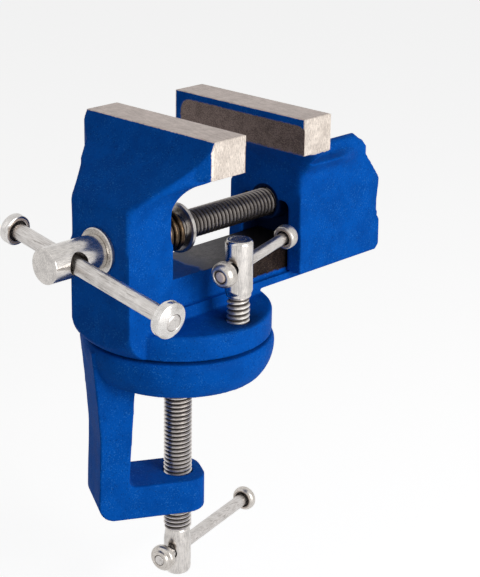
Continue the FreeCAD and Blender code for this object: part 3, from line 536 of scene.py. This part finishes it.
def screw_steel(name, axis, crest, root, along, thread_from, thread_to, light, dark):
    """One screw: plated outside thread_from..thread_to along its axis, thread between them. axis
    is two (coordinate, centre) pairs across the screw."""
    finish = Finish(name)
    radius = away(*(getattr(finish, letter) - centre for letter, centre in axis))
    way = getattr(finish, along)
    threaded = above(finish, way, thread_from, 0.2 * MM) * below(finish, way, thread_to, 0.2 * MM)
    worn = ragged(finish, radius, 0.20 * MM, 1.2 * MM)
    bright = finish.step(worn, root + (crest - root) * 0.15, root + (crest - root) * 0.95)
    grime = finish.noise(2.5 * MM, 5.0, 0.65)
    cut = finish.colours(bright, dark, light)
    cut = finish.colours(finish.step(grime, 0.54, 0.74) * 0.35, cut, dark)
    stretch = {"y": (1.0, 8.0, 1.0), "z": (1.0, 1.0, 8.0)}[along]
    lines = finish.noise(0.35 * MM, 4.0, 0.65, at=finish.stretched(stretch))
    clouds = finish.noise(3 * MM, 3.0)
    plated = finish.colours(finish.step(clouds * 0.4 + lines * 0.6, 0.34, 0.64),
                            HEAD_DARK, HEAD_LIGHT)
    colour = finish.colours(threaded, plated, cut)
    rough = finish.values(threaded, 0.16 + lines * 0.12, 0.26 + (1.0 - bright) * 0.28 + grime * 0.1)
    return finish.set(Base_Color=colour, Roughness=rough, Metallic=1.0,
                      Normal=finish.bump(lines * 0.4 + clouds * 0.6, distance=0.011 * MM))


# %% The three screws' steel
CREST = 4.9 * MM
ROOT = 4.02 * MM
LOCK_CREST = 3.86 * MM
LOCK_ROOT = 3.02 * MM
LOCK_NECK = 30.8 * MM

MATERIALS.update(
    main_screw=screw_steel("main_screw_steel", [("x", 0.0), ("z", MAIN_HIGH)], CREST, ROOT,
                           along="y", thread_from=0.5 * MM, thread_to=90 * MM,
                           light=rgb(150, 143, 138), dark=rgb(38, 33, 32)),
    clamp_screw=screw_steel("clamp_screw_steel", [("x", 0.0), ("y", 0.0)], CREST, ROOT,
                            along="z", thread_from=-61.2 * MM, thread_to=0.0,
                            light=rgb(222, 216, 212), dark=rgb(76, 70, 66)),
    lock_screw=screw_steel("lock_screw_steel", [("x", LOCK_RIGHT), ("y", LOCK_BACK)],
                           LOCK_CREST, LOCK_ROOT, along="z", thread_from=0.0,
                           thread_to=LOCK_NECK, light=rgb(232, 228, 224), dark=rgb(88, 81, 77)),
)
print("thread depths:", round((CREST - ROOT) / MM, 2), round((LOCK_CREST - LOCK_ROOT) / MM, 2))

# %% Bars, knobs and small pieces
MAIN_BAR_SLOPE = radians(8.9)
BAR_LIGHT = rgb(214, 210, 207)
BAR_DARK = rgb(184, 179, 175)

MATERIALS.update(
    plated=plated_steel("plated_steel", rgb(212, 208, 203), rgb(176, 170, 165), rough=0.22),
    main_bar=plated_steel("main_bar_steel", BAR_LIGHT, BAR_DARK, rough=0.24,
                          stretch=(12.0, 1.0, 1.0), turn=(0.0, MAIN_BAR_SLOPE, 0.0)),
    bar=plated_steel("drawn_bar_steel", BAR_LIGHT, BAR_DARK, rough=0.24,
                     stretch=(1.0, 12.0, 1.0)),
    knob=plated_steel("knob_plating", rgb(222, 219, 216), rgb(194, 190, 187), rough=0.14,
                      dents=0.006 * MM, streaks=0.12, hammered=0.08 * MM),
    satin_knob=plated_steel("satin_knob_plating", rgb(214, 209, 203), rgb(176, 169, 162),
                            rough=0.26, dents=0.01 * MM, streaks=0.3),
    spring=plated_steel("spring_steel", rgb(112, 92, 70), rgb(30, 24, 20), rough=0.24),
    brass=plated_steel("tip_brass", rgb(196, 160, 92), rgb(140, 108, 60), rough=0.30),
)
print("materials:", len(MATERIALS))

# %% [markdown]
# ## Soft edges for the castings
# The solids have knife edges, which no sand casting has. A Bevel modifier needs clean loops of
# edges, and these solids are cut and joined many times over. So a copy of each casting is filled
# with small voxels and its skin is relaxed: every edge gets a radius of about a millimetre and
# every inside corner a fillet. The jaw heads and the rail's top are milled after casting, so they
# are kept out of the relaxing and stay crisp.

# %% Pieces and plain meshes
def new_piece(name, mesh):
    """A new object of that mesh, at the origin."""
    piece = bpy.data.objects.new(name, mesh)
    bpy.context.scene.collection.objects.link(piece)
    return piece


def apply_modifiers(piece):
    """Swap the piece's mesh for what its modifiers make of it."""
    graph = bpy.context.evaluated_depsgraph_get()
    made = bpy.data.meshes.new_from_object(piece.evaluated_get(graph))
    old = piece.data
    piece.modifiers.clear()
    piece.data = made
    bpy.data.meshes.remove(old)


def mark_sharp(mesh, angle):
    """Smooth shading, but for edges that bend by more than the angle."""
    work = bmesh.new()
    work.from_mesh(mesh)
    for face in work.faces:
        face.smooth = True
    for edge in work.edges:
        bend = edge.calc_face_angle(0.0) if len(edge.link_faces) == 2 else 0.0
        edge.smooth = bend < angle
    work.to_mesh(mesh)
    work.free()


# %% Finish a piece
def settle(piece, material, body, node, sharp=radians(35)):
    """Give a piece its sharp edges and its material, hang it on its body, and hide the solid it
    stands for.
    """
    mark_sharp(piece.data, sharp)
    piece.data.materials.clear()
    piece.data.materials.append(MATERIALS[material])
    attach(piece, body)
    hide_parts(node)
    print(piece.name, len(piece.data.polygons), "faces")


# %% The casting's skin
VOXEL = 0.5 * MM
RELAX_TIMES = 2
FLOW_TIMES = 80
KEPT_FACES = 0.45
SHARP_CASTING = radians(50)


def relax(piece, name, times, wanted):
    """Smooth the skin where wanted(place) is true."""
    group = piece.vertex_groups.new(name=name)
    group.add([v.index for v in piece.data.vertices if wanted(v.co)], 1.0, "ADD")
    smooth = piece.modifiers.new(name, "SMOOTH")
    smooth.factor = 0.5
    smooth.iterations = times
    smooth.vertex_group = name


def casting(node, milled, flowing):
    """The casting named node. The skin isn't relaxed where milled(place) is true, and it is
    relaxed much more where flowing(place) is."""
    piece = new_piece(node + "_casting", NODES[node].data.copy())
    work = bmesh.new()
    work.from_mesh(piece.data)
    bmesh.ops.remove_doubles(work, verts=work.verts, dist=0.001 * MM)
    work.to_mesh(piece.data)
    work.free()
    skin = piece.modifiers.new("skin", "REMESH")
    skin.mode = "VOXEL"
    skin.voxel_size = VOXEL
    apply_modifiers(piece)
    relax(piece, "flow", FLOW_TIMES, flowing)
    relax(piece, "cast", RELAX_TIMES, lambda place: not milled(place))
    thin = piece.modifiers.new("thin", "DECIMATE")
    thin.ratio = KEPT_FACES
    apply_modifiers(piece)
    piece.vertex_groups.clear()
    settle(piece, node, node, node, SHARP_CASTING)


# %% Which places are milled, and which flow
UNDER_HEAD = HEAD_LOW - 1 * MM
POST_HALF = 13.0 * MM
CHEEK_HALF = 13.5 * MM
REAR_HEAD_BACK = 41 * MM


def is_head(place):
    return place.z > HEAD_LOW


def is_head_or_rail(place):
    on_rail = abs(place.x) < RAIL_SIDE + 0.3 * MM and abs(place.z - RAIL_TOP) < 0.4 * MM
    return is_head(place) or on_rail


def is_front_neck(place):
    """Where the post widens to the front head."""
    beside_post = abs(place.x) > POST_HALF and place.y < -1 * MM
    return beside_post and 50 * MM < place.z < UNDER_HEAD


def is_rear_neck(place):
    """Where the moving jaw's cheeks widen to its head, and the head's back."""
    on_cheek = abs(place.x) > CHEEK_HALF and 30 * MM < place.y < 74 * MM
    under = place.z < UNDER_HEAD or place.y >= REAR_HEAD_BACK
    return on_cheek and under and place.z > 54 * MM


def is_nowhere(place):
    return False


casting("vise_body", is_head_or_rail, is_front_neck)
casting("moving_jaw", is_head, is_rear_neck)
casting("clamp_frame", is_nowhere, is_nowhere)

# %% [markdown]
# ## Turned pieces
# Screws, bars and knobs come off a lathe, so each is an outline of (radius, height) spun about its
# own axis. The Screw modifier could spin it too. A short function does it here, because it also
# closes each end with one point on the axis. Corners of the outline are eased by a small curve,
# and the piece is then laid along its real axis, so that its place is in its mesh.

# %% Ease an outline's corners
def eased(points, radius, steps=6):
    """The outline with a small curve at each inner corner."""
    line = [Vector(p) for p in points]
    smooth = [line[0]]
    for before, corner, after in zip(line, line[1:], line[2:]):
        cut = min(radius, (before - corner).length * 0.45, (after - corner).length * 0.45)
        start = corner + (before - corner).normalized() * cut
        end = corner + (after - corner).normalized() * cut
        for step in range(steps + 1):
            t = step / steps
            smooth.append(start * (1 - t) ** 2 + corner * 2 * t * (1 - t) + end * t ** 2)
    smooth.append(line[-1])
    return smooth


# %% Spin an outline
ON_AXIS = 0.0001 * MM


def lathe(outline, around=64):
    """A closed mesh from an outline that starts and ends on the axis, or that closes on itself."""
    work = bmesh.new()
    rings = []
    for radius, height in outline:
        if radius < ON_AXIS:
            rings.append([work.verts.new((0, 0, height))])
            continue
        turn = [2 * pi * k / around for k in range(around)]
        rings.append([work.verts.new((radius * cos(a), radius * sin(a), height)) for a in turn])
    pairs = list(zip(rings, rings[1:]))
    if len(rings[0]) > 1:
        pairs.append((rings[-1], rings[0]))
    for low, high in pairs:
        for k in range(around):
            after = (k + 1) % around
            if len(low) == 1:
                work.faces.new((low[0], high[after], high[k]))
            elif len(high) == 1:
                work.faces.new((low[k], low[after], high[0]))
            else:
                work.faces.new((low[k], low[after], high[after], high[k]))
    bmesh.ops.recalc_face_normals(work, faces=work.faces)
    mesh = bpy.data.meshes.new("turned")
    work.to_mesh(mesh)
    work.free()
    return mesh


# %% Lay a turned piece in the frame
def laid(start, along, across=(0, 0, 1)):
    """The matrix that takes the lathe's Z to along, and its X as near as can be to across."""
    z_axis = Vector(along).normalized()
    x_axis = (Vector(across) - z_axis * Vector(across).dot(z_axis)).normalized()
    turn = Matrix((x_axis, z_axis.cross(x_axis), z_axis)).transposed().to_4x4()
    return Matrix.Translation(Vector(start)) @ turn


# %% [markdown]
# ## Threads and the spring
# Bump alone would leave a screw's outline smooth, and grooves turned round it would be rings and
# not a thread. So both are a shape carried along a helix. Geometry Nodes make the path by a rule:
# a point's angle and height follow from how far along the line it is. A thread carries a blunt V,
# one pitch wide, so its turns touch. The spring carries a circle. At both ends the shape shrinks
# over the part of a turn that is called Fade, as a thread runs out.

# %% A helix in Geometry Nodes
def helix_tree(name, profile):
    """profile(net, given) makes the curve that is carried along, from the tree's own inputs. The
    tree's input geometry, such as a screw's blank, is joined with the helix."""
    tree = bpy.data.node_groups.new(name, "GeometryNodeTree")
    tree.interface.new_socket("Blank", in_out="INPUT", socket_type="NodeSocketGeometry")
    for size in ("Radius", "Height", "Turns", "Start", "Fade", "Width", "Depth"):
        tree.interface.new_socket(size, in_out="INPUT", socket_type="NodeSocketFloat")
    tree.interface.new_socket("Points", in_out="INPUT", socket_type="NodeSocketInt")
    tree.interface.new_socket("Material", in_out="INPUT", socket_type="NodeSocketMaterial")
    tree.interface.new_socket("Result", in_out="OUTPUT", socket_type="NodeSocketGeometry")
    net = Net(tree)
    group = net.node("NodeGroupInput").socket.node
    given = {socket.name: Flow(net, socket) for socket in group.outputs if socket.name}
    line = net.node("GeometryNodeCurvePrimitiveLine", {"mode": "POINTS"})
    line = net.node("GeometryNodeResampleCurve", {"mode": "COUNT"},
                    {"Curve": line, "Count": given["Points"]})
    along = net.node("GeometryNodeSplineParameter", out="Factor")
    turned = along * given["Turns"]
    angle = turned * (2 * pi)
    place = net.node("ShaderNodeCombineXYZ", sockets={
        "X": net.math("COSINE", angle) * given["Radius"],
        "Y": net.math("SINE", angle) * given["Radius"],
        "Z": given["Start"] + along * given["Height"],
    })
    path = net.node("GeometryNodeSetPosition", sockets={"Geometry": line, "Position": place})
    path = net.node("GeometryNodeSetCurveNormal", {"mode": "Z_UP"}, {"Curve": path})
    from_ends = net.math("MINIMUM", turned, given["Turns"] - turned)
    scale = net.math("MINIMUM", from_ends / given["Fade"] + 0.02, 1.0)
    coil = net.node("GeometryNodeCurveToMesh", sockets={
        "Curve": path, "Profile Curve": profile(net, given), "Scale": scale, "Fill Caps": True,
    })
    joined = net.node("GeometryNodeJoinGeometry").socket.node
    tree.links.new(given["Blank"].socket, joined.inputs[0])
    tree.links.new(coil.socket, joined.inputs[0])
    real = net.node("GeometryNodeRealizeInstances", sockets={0: Flow(net, joined.outputs[0])})
    done = net.node("GeometryNodeSetMaterial", sockets={0: real, "Material": given["Material"]})
    result = tree.nodes.new("NodeGroupOutput")
    tree.links.new(done.socket, result.inputs[0])
    return tree


# %% What is carried along: a thread's V and a wire's circle
def thread_profile(net, given):
    """A blunt V that points away from the axis. Its foot lies just inside the blank."""
    half = given["Width"] * 0.5
    crest = given["Width"] * 0.07
    foot = given["Depth"] * -0.08

    def point(out, up):
        return net.node("ShaderNodeCombineXYZ", sockets={"X": out, "Y": up})

    corners = {
        "Point 1": point(foot, half * -1.0),
        "Point 2": point(given["Depth"], crest * -1.0),
        "Point 3": point(given["Depth"], crest),
        "Point 4": point(foot, half),
    }
    return net.node("GeometryNodeCurvePrimitiveQuadrilateral", {"mode": "POINTS"}, corners)


def wire_profile(net, given):
    sockets = {"Resolution": 20, "Radius": given["Width"] * 0.5}
    return net.node("GeometryNodeCurvePrimitiveCircle", {"mode": "RADIUS"}, sockets)


THREAD = helix_tree("cut_thread", thread_profile)
COIL = helix_tree("wire_coil", wire_profile)
print("helix trees of", len(THREAD.nodes), "and", len(COIL.nodes), "nodes")


# %% Run a helix tree on a piece
POINTS_A_TURN = 40


def wind(piece, tree, material, **sizes):
    """Run a helix tree on the piece and keep what it makes as a plain mesh."""
    modifier = piece.modifiers.new("helix", "NODES")
    modifier.node_group = tree
    for item in tree.interface.items_tree:
        key = item.name.lower()
        if key in sizes:
            modifier[item.identifier] = sizes[key]
        elif item.name == "Material":
            modifier[item.identifier] = material
    apply_modifiers(piece)


def cut_thread(piece, material, root, crest, pitch, start, height):
    """Join a thread to a screw's blank, from start on along the lathe's axis."""
    turns = height / pitch
    wind(piece, THREAD, material, radius=root, height=height, turns=turns, start=start, fade=0.6,
         width=pitch, depth=crest - root, points=int(turns * POINTS_A_TURN))
    threaded = [v.co for v in piece.data.vertices if start < v.co.z < start + height]
    reach = max(Vector(place[:2]).length for place in threaded)
    print(piece.name, "crest radius", round(reach / MM, 2), "mm")


# %% [markdown]
# ## The eye through a screw's head
# A bar slides through each head. A lathe can't make a hole across its own axis, so the eye is
# bored afterwards: a boolean takes a long cylinder away from the blank, and leaves a clean rim.

# %% Bore an eye
def bore_eye(piece, height, radius, aside=0.0, long=30 * MM):
    drill = new_piece("drill", lathe([(0, -long), (radius, -long), (radius, long), (0, long)], 48))
    drill.data.transform(Matrix.Translation((0, aside, height)) @ Matrix.Rotation(pi / 2, 4, "Y"))
    cut = piece.modifiers.new("eye", "BOOLEAN")
    cut.operation = "DIFFERENCE"
    cut.solver = "EXACT"
    cut.object = drill
    apply_modifiers(piece)
    bpy.data.objects.remove(drill)


# %% [markdown]
# ## The three screws
# Each is a turned blank with its eye and its thread. The main screw has a plain, thick neck where
# the spring sits. The clamp screw's tip is thinner, since it turns in its pad. The lock screw's
# head flares out from its neck, and its top keeps faint rings from the lathe.

# %% The main screw
MAIN_BAR_WAY = Vector((cos(MAIN_BAR_SLOPE), 0, -sin(MAIN_BAR_SLOPE)))
HEAD_FACE = -57.7 * MM
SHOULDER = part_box("thrust_washer")[0].y - HEAD_FACE
MAIN_LENGTH = 131.7 * MM


def make_main_screw():
    head, neck, neck_end = 5.9 * MM, ROOT + 0.8 * MM, 58 * MM
    outline = eased([
        (0, 0), (head, 0), (head, SHOULDER), (neck, SHOULDER), (neck, neck_end),
        (ROOT, neck_end + 0.4 * MM), (ROOT, MAIN_LENGTH - 1.2 * MM),
        (ROOT - 1.0 * MM, MAIN_LENGTH), (0, MAIN_LENGTH),
    ], 0.55 * MM)
    piece = new_piece("main_screw_threaded", lathe(outline))
    bore_eye(piece, height=9.4 * MM, radius=3.7 * MM, aside=-0.7 * MM)
    cut_thread(piece, MATERIALS["main_screw"], ROOT, CREST, pitch=1.75 * MM, start=59.0 * MM,
               height=71.5 * MM)
    piece.data.transform(laid((0, HEAD_FACE, MAIN_HIGH), (0, 1, 0), MAIN_BAR_WAY))
    settle(piece, "main_screw", "main_screw", "main_screw")


make_main_screw()

# %% The clamp screw
CLAMP_BAR_TURN = radians(102.0)
CLAMP_BAR_WAY = Vector((cos(CLAMP_BAR_TURN), sin(CLAMP_BAR_TURN), 0))
CLAMP_LOW = -78.4 * MM


def make_clamp_screw():
    head_top, tip_low, tip_top = 16.0 * MM, 70.0 * MM, 74.0 * MM
    outline = eased([
        (0, 0), (4.0 * MM, 0.1 * MM), (4.75 * MM, 1.4 * MM), (4.8 * MM, 12.5 * MM),
        (4.35 * MM, head_top), (ROOT + 0.25 * MM, head_top + 0.7 * MM),
        (ROOT, head_top + 1.4 * MM), (ROOT, tip_low - 0.8 * MM), (3.5 * MM, tip_low),
        (3.5 * MM, tip_top), (0, tip_top),
    ], 0.7 * MM)
    piece = new_piece("clamp_screw_threaded", lathe(outline))
    bore_eye(piece, height=8.7 * MM, radius=2.6 * MM)
    cut_thread(piece, MATERIALS["clamp_screw"], ROOT, CREST, pitch=1.5 * MM, start=17.0 * MM,
               height=52.6 * MM)
    piece.data.transform(laid((0, 0, CLAMP_LOW), (0, 0, 1), CLAMP_BAR_WAY))
    settle(piece, "clamp_screw", "clamp_screw", "clamp_screw")


make_clamp_screw()

# %% The lock screw
LOCK_BAR_TURN = radians(97.5)


def make_lock_screw():
    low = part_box("lock_screw")[0].z
    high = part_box("lock_screw")[1].z - low
    neck = LOCK_NECK - low
    outline = eased([
        (0, 0), (LOCK_ROOT - 0.3 * MM, 0), (LOCK_ROOT, 0.6 * MM), (LOCK_ROOT, neck - 1.2 * MM),
        (3.7 * MM, neck - 0.5 * MM), (4.15 * MM, neck), (4.2 * MM, neck + 0.9 * MM),
        (4.6 * MM, neck + 1.9 * MM), (4.6 * MM, high - 0.8 * MM), (4.0 * MM, high),
        (3.3 * MM, high - 0.12 * MM), (2.6 * MM, high), (1.7 * MM, high - 0.15 * MM), (0, high),
    ], 0.45 * MM)
    piece = new_piece("lock_screw_threaded", lathe(outline))
    bore_eye(piece, height=40.8 * MM - low, radius=2.7 * MM)
    cut_thread(piece, MATERIALS["lock_screw"], LOCK_ROOT, LOCK_CREST, pitch=1.75 * MM,
               start=0.8 * MM, height=neck - 1.6 * MM)
    across = (cos(LOCK_BAR_TURN), sin(LOCK_BAR_TURN), 0)
    piece.data.transform(laid((LOCK_RIGHT, LOCK_BACK, low), (0, 0, 1), across))
    settle(piece, "lock_screw", "lock_screw", "lock_screw")


make_lock_screw()

# %% [markdown]
# ## Sliding bars and knobs
# Each bar is a drawn rod whose ends are peened over a knob. The knob is a ring with a rounded rim:
# its outer face shows the spread end of the bar, on the lock screw's handle in a dark groove, and
# its inner face is bored wider than the bar.

# %% A sliding bar
def bar_line(node, way):
    """The ends of the bar's middle line along way."""
    places = [v.co for v in NODES[node].data.vertices]
    low = min(p.dot(way) for p in places)
    high = max(p.dot(way) for p in places)
    box_low, box_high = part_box(node)
    middle = (box_low + box_high) / 2
    middle = middle - way * middle.dot(way)
    return middle + way * low, middle + way * high


def mark_grime_and_shade(mesh, dull_and_shaded):
    """Store each point's dullness and painted shade. dull_and_shaded(radius, height) gives it from
    0 to 1.
    """
    grime = mesh.attributes.new("grime", "FLOAT", "POINT")
    for vertex, value in zip(mesh.vertices, grime.data):
        value.value = dull_and_shaded(Vector(vertex.co[:2]).length, vertex.co.z)


OPEN_GROOVE = 0.1 * MM
DULL_END = 0.25


def make_bar(name, handle):
    """A rod with a thinner tenon at each end, where a knob sits."""
    way, radius, tenon = handle["way"], handle["bar"], handle["tenon"]
    start, end = bar_line(name, way)
    length = (end - start).length
    tenon_long = handle["long"] * 0.6
    half = [(0, 0), (tenon * 0.75, 0.05 * MM), (tenon, 0.35 * MM), (tenon, tenon_long),
            (radius, tenon_long + 0.5 * MM)]
    other = [(r, length - height) for r, height in reversed(half)]
    piece = new_piece(name + "_rod", lathe(eased(half + other, 0.2 * MM), 48))
    dullness = DULL_END if handle["groove"] > OPEN_GROOVE else 0.0
    mark_grime_and_shade(piece.data, lambda r, h: dullness * (min(h, length - h) < 0.4 * MM))
    piece.data.transform(laid(start, way))
    settle(piece, handle["metals"][0], name, name)


# %% A knob
SHARP_KNOB = radians(42)
DULL_SHADED_FACE = 0.72


def make_knob(name, body, handle, way, radius):
    """way points outwards, from the bar's middle to this end."""
    long, tenon, groove = handle["long"], handle["tenon"], handle["groove"]
    low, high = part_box(name)
    inner = (low + high) / 2 - way * (long / 2)
    bore = handle["bar"] * 1.28
    deep = long * 0.3
    outline = [(tenon, deep), (bore, deep), (bore, 0.25 * MM), (bore + 0.25 * MM, 0)]
    outline += [(radius * r, long * h) for r, h in handle["rim"]]
    front = long * handle["rim"][-1][1]
    outline += [(tenon + groove + 0.1 * MM, front), (tenon + groove, front - 0.5 * MM),
                (tenon, front - 0.7 * MM)]
    ring = eased([*outline, outline[0]], 0.45 * MM)[:-1]
    piece = new_piece(name + "_turned", lathe(ring, 96))

    # Painted shade: the bore, an open groove and the inner face are dark, and the inner face is
    # dull too.
    def dull_and_shaded(from_axis, height):
        in_bore = from_axis < bore + 0.1 * MM and height < deep + 0.1 * MM
        in_groove = from_axis < tenon + groove + 0.02 * MM and height > front - 0.75 * MM
        if in_bore or (in_groove and groove > OPEN_GROOVE):
            return 1.0
        return DULL_SHADED_FACE if height < 0.02 * MM else 0.0

    mark_grime_and_shade(piece.data, dull_and_shaded)
    piece.data.transform(laid(inner, way))
    settle(piece, handle["metals"][1], body, name, SHARP_KNOB)


# %% [markdown]
# The three handles differ in their knobs, so each has its own outline of the rim: points of
# (radius, height) in parts of the knob's radius and length, from its inner face outwards. The
# main screw's are wide discs with a groove in the rim, the lock screw's are plain collars, and
# the clamp screw's step down to a button.

# %% The three handles
LOCK_BAR_RISE = radians(7.0)
LOCK_BAR_WAY = Vector((cos(LOCK_BAR_RISE) * cos(LOCK_BAR_TURN),
                       cos(LOCK_BAR_RISE) * sin(LOCK_BAR_TURN), sin(LOCK_BAR_RISE)))
DISC = [(0.86, 0.0), (0.97, 0.04), (1.0, 0.11), (1.0, 0.17), (0.965, 0.22), (0.975, 0.30),
        (1.0, 0.46), (1.0, 0.66), (0.90, 0.74), (0.52, 0.92)]
COLLAR = [(0.84, 0.0), (0.97, 0.08), (1.0, 0.24), (1.0, 0.58), (0.93, 0.80), (0.78, 0.99)]
STEPPED = [(0.78, 0.0), (0.93, 0.10), (1.0, 0.26), (1.0, 0.50), (0.93, 0.64), (0.70, 0.74),
           (0.67, 0.90), (0.58, 0.94)]
HANDLES = {
    "main": dict(way=MAIN_BAR_WAY, bar=2.7 * MM, tenon=2.65 * MM, long=4.6 * MM, rim=DISC,
                 groove=0.03 * MM, metals=("main_bar", "knob"),
                 knobs={"left": 5.1 * MM, "right": 5.8 * MM}),
    "lock": dict(way=LOCK_BAR_WAY, bar=1.95 * MM, tenon=1.9 * MM, long=4.3 * MM, rim=COLLAR,
                 groove=0.45 * MM, metals=("bar", "satin_knob"),
                 knobs={"front": 4.35 * MM, "back": 4.05 * MM}),
    "clamp": dict(way=CLAMP_BAR_WAY, bar=2.25 * MM, tenon=1.8 * MM, long=4.6 * MM, rim=STEPPED,
                  groove=0.05 * MM, metals=("bar", "satin_knob"),
                  knobs={"front": 4.65 * MM, "back": 4.45 * MM}),
}
for name, handle in HANDLES.items():
    bar = name + "_bar"
    make_bar(bar, handle)
    for (end, radius), side in zip(handle["knobs"].items(), (-1, 1)):
        make_knob(f"{name}_knob_{end}", bar, handle, handle["way"] * side, radius)

# %% [markdown]
# ## The return spring
# Round wire behind the post, dark with old oil. A curve with a round bevel could make it too, but
# the tree for threads is there already and only needs a circle in place of the V. The spring turns
# with the main screw.

# %% The return spring
SPRING_RADIUS = 6.3 * MM
SPRING_TURNS = 4.6
WIRE = 2.0 * MM


def make_spring():
    low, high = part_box("return_spring")
    piece = new_piece("return_spring_wire", bpy.data.meshes.new("wire"))
    length = high.y - low.y
    wind(piece, COIL, MATERIALS["spring"], radius=SPRING_RADIUS, height=length - WIRE,
         turns=SPRING_TURNS, start=WIRE / 2, fade=0.05, width=WIRE, points=260)
    piece.data.transform(laid((0, low.y, MAIN_HIGH), (0, 1, 0), MAIN_BAR_WAY))
    settle(piece, "spring", "main_screw", "return_spring")


make_spring()

# %% [markdown]
# ## Pieces whose solids are right
# Washers, the ring, its pin, the pivot and the two small pads already have their real shape. They
# keep their meshes and only change their finish.

# %% Finish the small solids
KEPT = {
    "thrust_washer": "plated", "spring_ring": "plated", "ring_pin": "plated",
    "pivot_bolt": "plated", "pivot_washer": "plated", "clamp_pad": "plated", "lock_tip": "brass",
}
for node, material in KEPT.items():
    for entry in NODES[node].material_slots:
        entry.material = MATERIALS[material]
print("finished:", ", ".join(KEPT))

# %% [markdown]
# ## A plain studio
# A pale floor as low as the clamp screw winds down, and an even, white surround. The camera and
# shiny metal see the surround as pure white, while the light that falls on the vise is softer. One
# wide lamp stands to the right, a weaker one in front.

# %% Surround and floor
SURROUND_LIGHT = 0.24
CLAMP_DROP = 30.1 * MM
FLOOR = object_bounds()[0].z - CLAMP_DROP - 0.4 * MM
FLOOR_HALF = 3.0
FLOOR_GREY = 0.62
FLOOR_GLOW = 0.72
print("floor at", round(FLOOR / MM, 1), "mm")


def is_seen(net):
    """1 for rays from the camera, mirrors and glass, 0 for light that is scattered."""
    path = net.node("ShaderNodeLightPath").socket.node
    rays = [Flow(net, path.outputs[name]) for name in
            ("Is Camera Ray", "Is Glossy Ray", "Is Transmission Ray")]
    return net.math("MINIMUM", rays[0] + rays[1] + rays[2], 1.0)


def make_surround():
    world = bpy.data.worlds.new("surround")
    world.use_nodes = True
    net = Net(world.node_tree)
    background = world.node_tree.nodes["Background"]
    background.inputs["Color"].default_value = (1, 1, 1, 1)
    strength = SURROUND_LIGHT + is_seen(net) * (1.0 - SURROUND_LIGHT)
    world.node_tree.links.new(strength.socket, background.inputs["Strength"])
    bpy.context.scene.world = world


def make_floor():
    mesh = bpy.data.meshes.new("floor")
    around = ((-1, -1), (1, -1), (1, 1), (-1, 1))
    corners = [(FLOOR_HALF * x, FLOOR_HALF * y, FLOOR) for x, y in around]
    mesh.from_pydata(corners, [], [(0, 1, 2, 3)])
    floor = new_piece("floor", mesh)
    finish = Finish("floor_paper")
    glow = finish.colours(is_seen(finish), (0.0,) * 3, (FLOOR_GLOW,) * 3)
    finish.set(Base_Color=finish.colour((FLOOR_GREY,) * 3), Roughness=0.9, Specular_IOR_Level=0.0,
               Emission_Strength=1.0, Emission_Color=glow)
    mesh.materials.append(finish.material)


make_surround()
make_floor()

# %% Lamps
AIM = Vector((0, 0.01, 0.03))


def make_lamp(name, place, size, power):
    light = bpy.data.lights.new(name, "AREA")
    light.shape = "SQUARE"
    light.size = size
    light.energy = power
    lamp = bpy.data.objects.new(name, light)
    lamp.location = place
    lamp.rotation_mode = "QUATERNION"
    lamp.rotation_quaternion = (AIM - Vector(place)).to_track_quat("-Z", "Y")
    bpy.context.scene.collection.objects.link(lamp)
    print(name, "of", power, "W")


make_lamp("right_lamp", (0.93, 0.02, 0.26), size=0.6, power=6.8)
make_lamp("front_lamp", (-0.20, -0.95, 0.60), size=0.8, power=0.55)
bpy.context.scene.view_settings.view_transform = "Standard"
